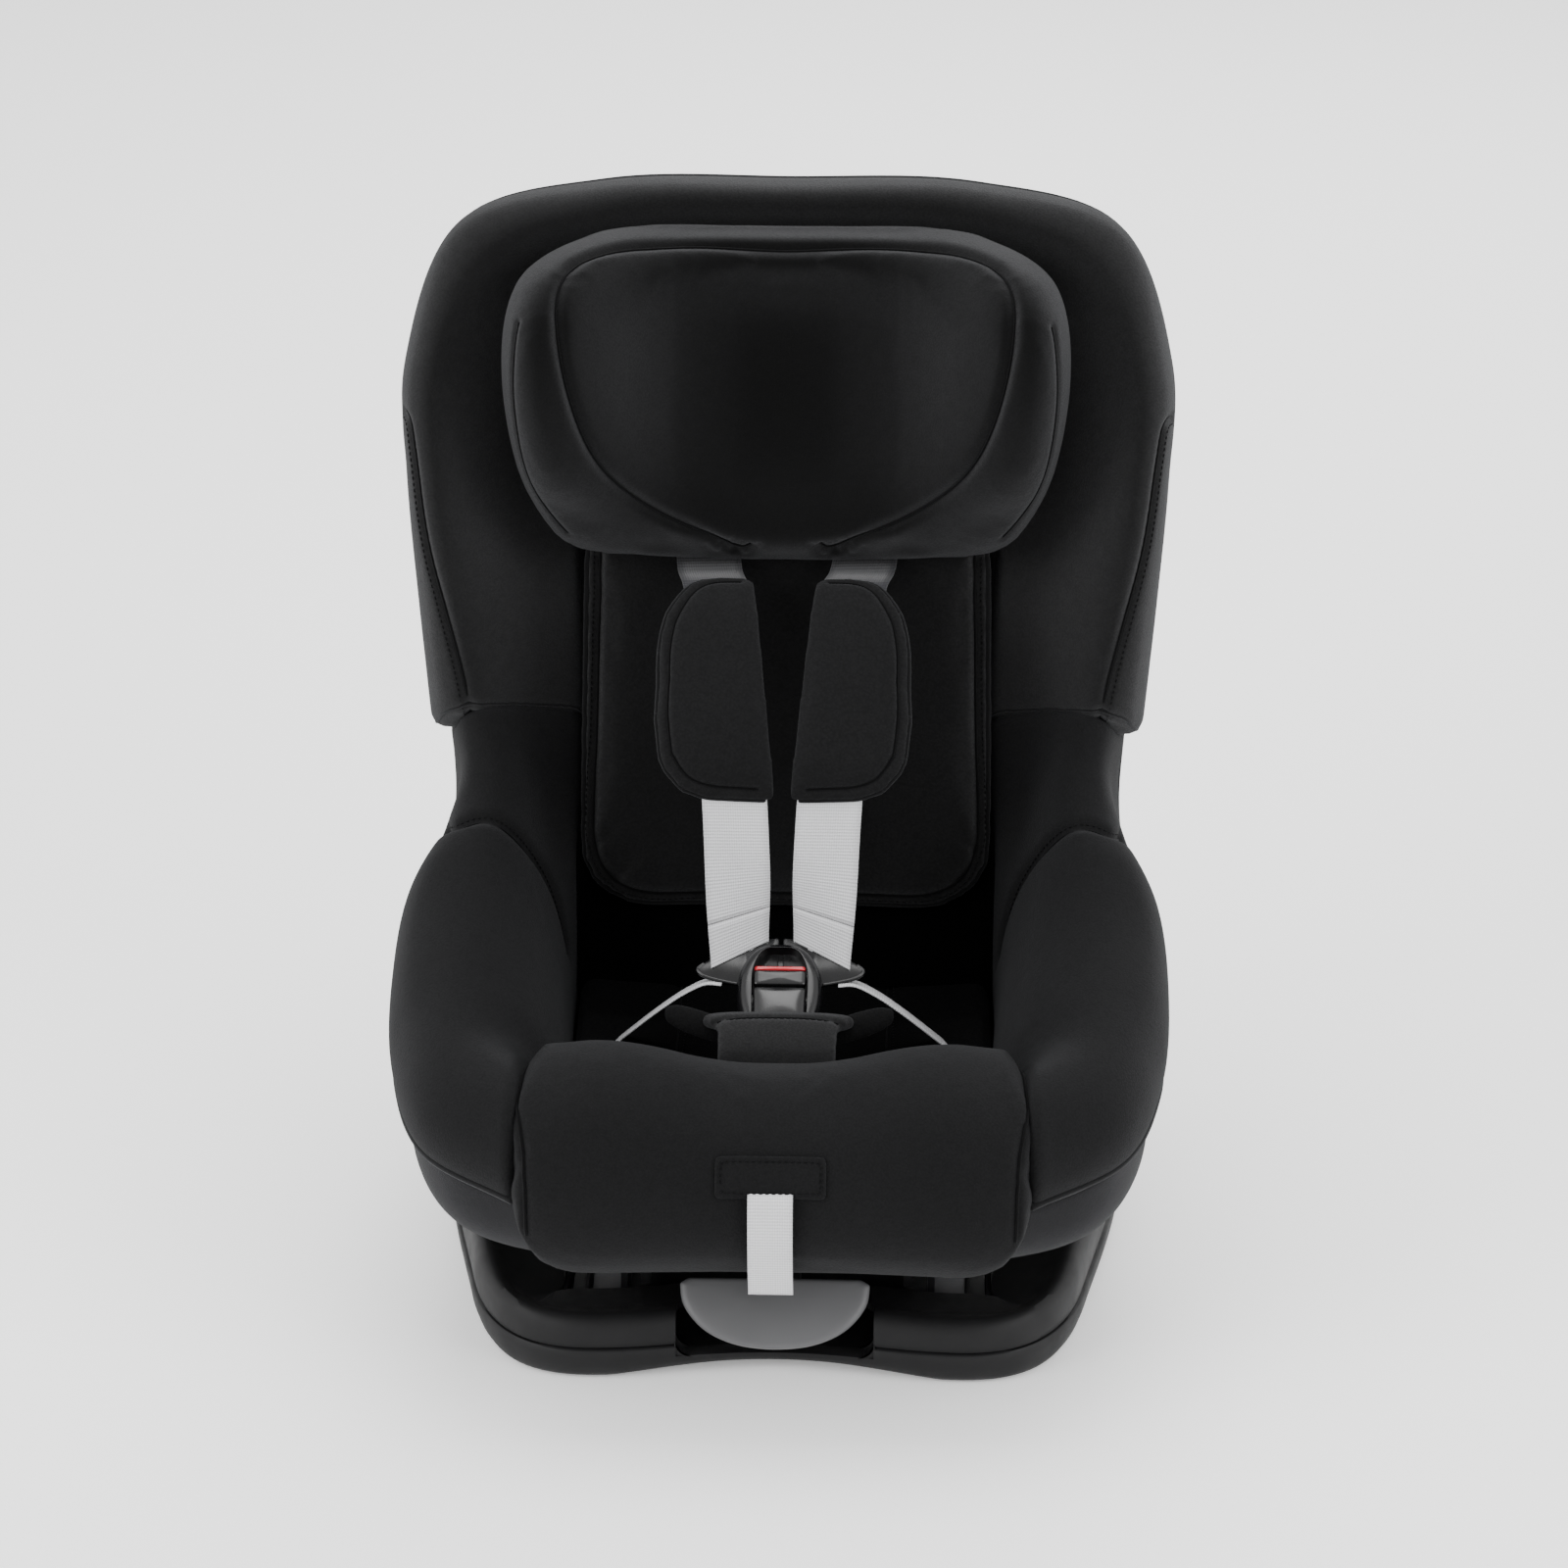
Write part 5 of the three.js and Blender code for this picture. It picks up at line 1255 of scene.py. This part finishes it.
def make_shoulder_strap(side, where):
    fine = shoulder_line()
    change = 3 * STEPS - 6  # where light webbing gives way to dark, inside the shoulder pad
    grey = np.vstack([at_buckle(24.2, 23, -3.2), fine[:change]])
    slot_way = at_buckle(math.cos(SLOT_LEAN), -math.sin(SLOT_LEAN), 0) - at_buckle(0, 0, 0)
    ease = smoothstep(0, 13, np.arange(len(grey)))[:, None]
    sides = (slot_way * (1 - ease) + np.array([1.0, 0, 0]) * ease) * [1, side, side]
    grey, fine = flipped(grey, side), flipped(fine, side)
    joint = 5  # below the shoulder pad at every height of the headrest
    low, high, pad_end = grey[[1, joint, 20]]
    name = "shoulder_strap_" + where
    middle = ribbon(name + "_webbing", grey[joint:], HARNESS_WIDTH, 0.8, sides[joint:])
    finish_piece(middle, "shell", "light_webbing", [name], ("headrest", high, pad_end))
    lower = ribbon(name + "_lower_webbing", grey[: joint + 1], HARNESS_WIDTH, 0.8, sides[: joint + 1])
    finish_piece(lower, "shell", "light_webbing", blend=("tongue_" + where, high, low))
    dark = fine[change : 5 * STEPS + 8]
    upper = ribbon(name + "_upper_webbing", dark, HARNESS_WIDTH, 0.9, (1, 0, 0))
    finish_piece(upper, "headrest", "dark_webbing")
    tail = ribbon(name + "_rear_webbing", fine[5 * STEPS + 2 :], HARNESS_WIDTH, 0.8, (1, 0, 0))
    top, bottom = np.array([0, 0, 410]), np.array([0, 0, 300])
    finish_piece(tail, "headrest", "dark_webbing", blend=("shell", top, bottom))


def make_shoulder_pad(side, where):
    """A padded sleeve: straight where it folds on the inside, and a piped, rounded edge on the outside."""
    fine = shoulder_line()[: 4 * STEPS]
    lengths = arc_lengths(fine)
    start, stop = lengths[STEPS] + 14, lengths[3 * STEPS] + 8
    corners = [
        (-23, start - 3), (24, start - 1), (40, start + 12), (44, start + 32), (42, stop - 68),
        (37, stop - 36), (27, stop - 17), (8, stop), (-22, stop),
    ]
    outline = even_outline(corners, [4, 12, 14, 18, 24, 16, 14, 12, 4], 8, 2.0)

    def lift(x, along, height):
        centre, ahead = looked_up(np.array([along, along + 6]), lengths, fine)
        up = unit(np.cross(ahead - centre, [1, 0, 0]))
        return (centre + [x, 0, 0] + up * np.sign(up @ OUT) * height) * [side, 1, 1]

    rows = [
        (0.1, -7), (0.5, -7), (0.86, -6.5), (0.97, -4), (1.0, 0), (0.985, 3.2), (0.94, 4.6), (0.9, 5.0),
        (0.84, 6.2), (0.7, 7.8), (0.45, 8.6), (0.15, 8.8),
    ]
    obj = pillow("shoulder_pad_" + where + "_padding", outline, lift, rows)
    inflate(obj, 3.2, 1.8, 1.6)
    tree = tree_of(obj)
    outside = outline[outline[:, 0] > -19.0]
    split = int(np.argmax(np.linalg.norm(outside - np.roll(outside, 1, axis=0), axis=1)))
    outside = np.roll(outside, -split, axis=0)
    edge = on_surface(tree, [lift(x, s, 1.0) for x, s in outside], 0.3)[0]
    finish_piece(cord("shoulder_pad_piping_" + where, resample(edge, 2.5), 1.7), "headrest", "piping")
    middle = np.array([8.0, (start + stop) / 2])
    path = on_surface(tree, [lift(x, s, 9) for x, s in middle + (outside - middle) * [0.84, 0.91]])[0]
    sew(obj, "shoulder_pad_seam_" + where, resample(path, 2.5), "headrest", depth=1.8, width=2.4, puff=0.5)
    finish_piece(obj, "headrest", "soft_fabric", ["shoulder_pad_" + where])


def make_lap_strap(side, where):
    points = [
        (34, -77, 195), (43, -74, 194), (56, -71, 186), (71, -67, 173), (86, -62, 158), (101, -56, 142),
        (108, -53, 134),
    ]
    path = flipped(spline(points, 8), side)
    obj = ribbon("lap_strap_" + where + "_webbing", path, 30, 0.9, (0, 0.94, -0.34))
    finish_piece(obj, "shell", "light_webbing", ["lap_strap_" + where])


def make_adjuster_strap():
    spots = [
        (138, 246), (126, 180), (110, 140), (84, 124), (70, 102), (52, 87), (-60, 85), (-142, 85),
        (-166, 104), (-174, 124), (-188, 131), (-236, 138), (-262, 160), (-275, 160), (-279.5, 140),
        (-275.5, 116), (-266, 95),
    ]
    path = spline([(0, y, z) for y, z in spots], 8)
    obj = ribbon("adjuster_strap_webbing", path, 25, 0.75, (1, 0, 0))
    finish_piece(obj, "shell", "light_webbing", ["adjuster_strap"])


def make_crotch_strap():
    path = spline([(0, -151.5, 94), (0, -151.5, 150), (0, -136, 166), at_buckle(0, -30, 0)], 10)
    obj = ribbon("crotch_strap_webbing", path, 36, 1.2, (1, 0, 0))
    finish_piece(obj, "shell", "dark_webbing", ["crotch_strap"])


def buckle_pad(name, corners, radius, rows, spacing=1.0, crown=0.0):
    """A moulded key or plate in the buckle's frame, over a rounded outline, with a crown on its face."""
    outline = even_outline(corners, radius, 5, spacing)
    middle = (outline.min(axis=0) + outline.max(axis=0)) / 2
    reach = (outline.max(axis=0) - outline.min(axis=0)) / 2
    face = max(height for _, height in rows) - 1.2

    def lift(x, y, height):
        near = np.clip(1 - ((np.array([x, y]) - middle) / reach) ** 2, 0, 1)
        return at_buckle(x, y, height + crown * near[0] * near[1] * (height > face))

    return subdivide(pillow(name, outline, lift, rows))


def make_buckle():
    corners = [(-19, -31), (19, -31), (25.5, -6), (24.5, 14), (14, 32), (-14, 32), (-24.5, 14), (-25.5, -6)]
    outline = even_outline(corners, [9, 9, 9, 9, 11, 11, 9, 9], 6, 1.2)
    rows = [
        (0.2, -8), (0.7, -8), (0.93, -7), (0.99, -4), (1.0, 0), (0.985, 4), (0.94, 7.4), (0.87, 9.2),
        (0.78, 10.0), (0.5, 10.2), (0.2, 10.2),
    ]
    obj = pillow("buckle_housing_moulding", outline, at_buckle, rows)
    window = [(-16, -26), (16, -26), (16.6, 14), (10, 27.5), (-10, 27.5), (-16.6, 14)]
    cut_out(obj, even_outline(window, [6, 6, 8, 6, 6, 8], 6, 1.0), (0.0, 14.0), at_buckle)
    apply_modifiers(bevel(obj, 1.1, 3, 40))
    finish_piece(obj, "shell", "gloss_plastic", ["buckle_housing"])

    face = [(-15.2, -25), (15.2, -25), (15.6, 1.0), (-15.6, 1.0)]
    rows = [
        (0.2, 4), (0.92, 4), (1.0, 5.5), (1.0, 8.6), (0.965, 10.0), (0.88, 10.8), (0.74, 11.1), (0.6, 11.2),
        (0.45, 11.25), (0.3, 11.3), (0.1, 11.3),
    ]
    plate = buckle_pad("buckle_face_plate", face, [7, 7, 2, 2], rows, crown=1.7)
    finish_piece(plate, "shell", "button_plastic")
    key = [(-15.4, 2.6), (15.4, 2.6), (15.6, 12.2), (-15.6, 12.2)]
    rows = [(0.2, 4), (0.92, 4), (1.0, 5), (1.0, 8.0), (0.96, 9.2), (0.85, 9.8), (0.4, 10.2), (0.15, 10.3)]
    button = buckle_pad("buckle_button_key", key, 1.4, rows)
    finish_piece(button, "buckle_button", "button_plastic", ["buckle_button"])
    strip = [(-15.2, 12.6), (15.2, 12.6), (15.0, 15.0), (-15.0, 15.0)]
    rows = [(0.2, 3.6), (0.95, 3.6), (1.0, 4.4), (1.0, 8.4), (0.95, 9.0), (0.4, 9.3), (0.15, 9.3)]
    finish_piece(buckle_pad("buckle_button_strip", strip, 0.6, rows, 0.6), "buckle_button", "red_plastic")


def make_tongue(side, where):
    """A latch plate: a blade in the buckle and a swept wing that the webbing passes through."""
    name = "tongue_" + where
    wing = [
        (1, 0), (16, 0), (20, 7), (30, 8.6), (46, 13.5), (50, 17.5), (45, 22), (28, 31), (14, 37.5), (1, 39),
    ]
    outline = even_outline(wing, [1, 2, 4, 6, 3, 3, 3, 10, 8, 1], 4, 1.0)
    centre = np.array([21.0, 21.0])
    rings = []
    for share, height in ((0.96, -3.4), (1.0, -2.6), (1.0, -0.8), (0.985, 0.0), (0.955, 0.3)):
        rings.append([at_buckle(x * side, y, height) for x, y in centre + (outline - centre) * share])
    faces = grid_faces(len(rings), len(outline), False, True) + end_faces(rings)
    obj = mesh_object(name + "_plate", np.concatenate(rings), faces)
    finish_piece(obj, name, "gloss_plastic", [name])
    grip = ((25, 8.0), (32, 9.4), (45, 13.4), (48.6, 17.4), (45, 21.2))
    slot = ((8, 35.5), (16, 32), (24, 27.2), (32, 22.6), (40, 17.8))
    for label, spots, height, radius in (("_rim", grip, -0.4, 1.2), ("_slot_lip", slot, -0.3, 1.1)):
        path = spline([at_buckle(side * x, y, height) for x, y in spots], 6)
        finish_piece(cord(name + label, resample(path, 1.5), radius), name, "gloss_plastic")


# ---------------------------------------------------------------- handle and small parts


def make_handle():
    corners = [
        (-55, 0), (-53, -12), (-42, -26), (-24, -35), (0, -38), (24, -35), (42, -26), (53, -12), (55, 0),
    ]
    outline = resample(np.vstack([spline(corners, 8), [(50, 3), (-50, 3)]]), 2.0, closed=True)
    lean = math.radians(52)

    def lift(x, y, height):
        return turned(x, y, height + 2.2 * (1 - (x / 58) ** 2), lean, -186, 56)

    rows = [
        (0.1, -4.5), (0.6, -4.5), (0.94, -4.2), (0.99, -2.5), (1.0, -0.4), (0.985, 1.4), (0.95, 2.5),
        (0.88, 3.0), (0.5, 3.4), (0.12, 3.5),
    ]
    obj = subdivide(pillow("recline_handle_paddle", outline, lift, rows))
    finish_piece(obj, "recline_handle", "handle_plastic", ["recline_handle"])
    neck = bevel(block("recline_handle_neck", (-26, 26), (-190, -176), (38, 53)), 3)
    finish_piece(neck, "recline_handle", "shell_plastic")
    slider = bevel(block("recline_handle_slider", (-14, 14), (-180, -15), (36.5, 40.5)), 0.8, 2)
    finish_piece(slider, "recline_handle", "dark_steel")


def pair(name):
    return [name + "_left", name + "_right"]


CARRIED = {
    "dark_steel": [
        *pair("recline_rail"), "lock_rack", "carriage_frame", *pair("hinge_bracket"), "latch_striker",
        "tilt_latch",
    ],
    "steel": [
        "tilt_axle", "lock_bolt", "headrest_bolt", "harness_yoke", "adjuster_body", "latch_pin",
        *pair("clamp_pin"), *pair("base_screw_front"), *pair("base_screw_rear"),
    ],
    "rubber": [*pair("foot_strip"), *pair("glide_pin_front"), *pair("glide_pin_rear")],
    "shell_plastic": ["headrest_shell", "headrest_slider", "headrest_guide"],
    "handle_plastic": ["headrest_release"],
    "gloss_plastic": ["adjuster_lever", *pair("belt_clamp")],
}  # CAD solids that are shown as they are, with bevelled edges


def carry_over():
    for material, names in CARRIED.items():
        for name in names:
            obj = NODES[name]
            obj.data.materials.clear()
            obj.data.materials.append(MATERIALS[material])
            bevel(obj, 0.7, 2, 40)


# ---------------------------------------------------------------- stage


def make_floor():
    edge = 6000
    corners = [(-edge, -edge, -0.5), (edge, -edge, -0.5), (edge, edge, -0.5), (-edge, edge, -0.5)]
    floor = mesh_object("stage_floor", corners, [(0, 1, 2, 3)])
    pale = bpy.data.materials.new("stage_pale")
    pale.use_nodes = True
    surface = pale.node_tree.nodes["Principled BSDF"]
    looks = (
        ("Base Color", (0.94, 0.94, 0.94, 1)), ("Roughness", 0.9), ("Emission Color", (1, 1, 1, 1)),
        ("Emission Strength", 0.22),
    )
    for key, value in looks:
        surface.inputs[key].default_value = value
    floor.data.materials.append(pale)


def make_world():
    """White surroundings, half as bright again from the back and sides as from the camera's side."""
    world = bpy.data.worlds.new("studio")
    world.use_nodes = True
    tree = world.node_tree
    background = tree.nodes["Background"]
    background.inputs[0].default_value = (1, 1, 1, 1)
    way = tree.nodes.new("ShaderNodeTexCoord")
    toward = tree.nodes.new("ShaderNodeVectorMath")
    toward.operation = "DOT_PRODUCT"
    toward.inputs[1].default_value = tuple(BACKWARD)
    fall = tree.nodes.new("ShaderNodeMapRange")
    fall.interpolation_type = "SMOOTHSTEP"
    for slot, value in (("From Min", 0.2), ("From Max", 0.95), ("To Min", 1.5), ("To Max", 1.0)):
        fall.inputs[slot].default_value = value
    tree.links.new(way.outputs["Generated"], toward.inputs[0])
    tree.links.new(toward.outputs["Value"], fall.inputs["Value"])
    tree.links.new(fall.outputs["Result"], background.inputs[1])
    bpy.context.scene.world = world


LIGHTS = (  # name, place in metres, size and power
    ("left", (-2.2, -1.6, 1.5), 1.6, 62),
    ("right", (2.2, -1.6, 1.5), 1.6, 52),
    ("top", (0.0, 0.2, 2.8), 1.6, 42),
    ("rear", (0.4, 2.4, 1.8), 1.8, 35),
)


def placed(name, data, place, facing):
    """An object for a lamp or the camera, turned to face a direction."""
    obj = bpy.data.objects.new(name, data)
    obj.location = place
    obj.rotation_euler = facing.to_track_quat("-Z", "Y").to_euler()
    bpy.context.scene.collection.objects.link(obj)
    return obj


def make_stage():
    make_floor()
    make_world()
    for name, place, size, power in LIGHTS:
        light = bpy.data.lights.new(name, "AREA")
        light.energy = power
        light.size = size
        placed(name, light, place, Vector((0, 0, 0.3)) - Vector(place))
    camera = bpy.data.cameras.new("camera")
    camera.sensor_width = SENSOR
    camera.lens = SENSOR * CAMERA_PIXELS * CAMERA_DISTANCE / FRAME_PIXELS
    bpy.context.scene.camera = placed("camera", camera, Vector(EYE) * MM, Vector(-BACKWARD))


make_materials()
carry_over()
make_base()
make_shell()
make_rear_cover()
make_lining()
make_cushion()
make_backrest_cover()
for SIDE, WHERE in SIDES:
    make_side_cover(SIDE, WHERE)
    make_skirt(SIDE, WHERE)
    make_shoulder_strap(SIDE, WHERE)
    make_shoulder_pad(SIDE, WHERE)
    make_lap_strap(SIDE, WHERE)
    make_tongue(SIDE, WHERE)
make_flap(make_front_roll())
make_back_pad()
make_crotch_pad()
make_headrest()
make_adjuster_strap()
make_crotch_strap()
make_buckle()
make_handle()
make_stage()
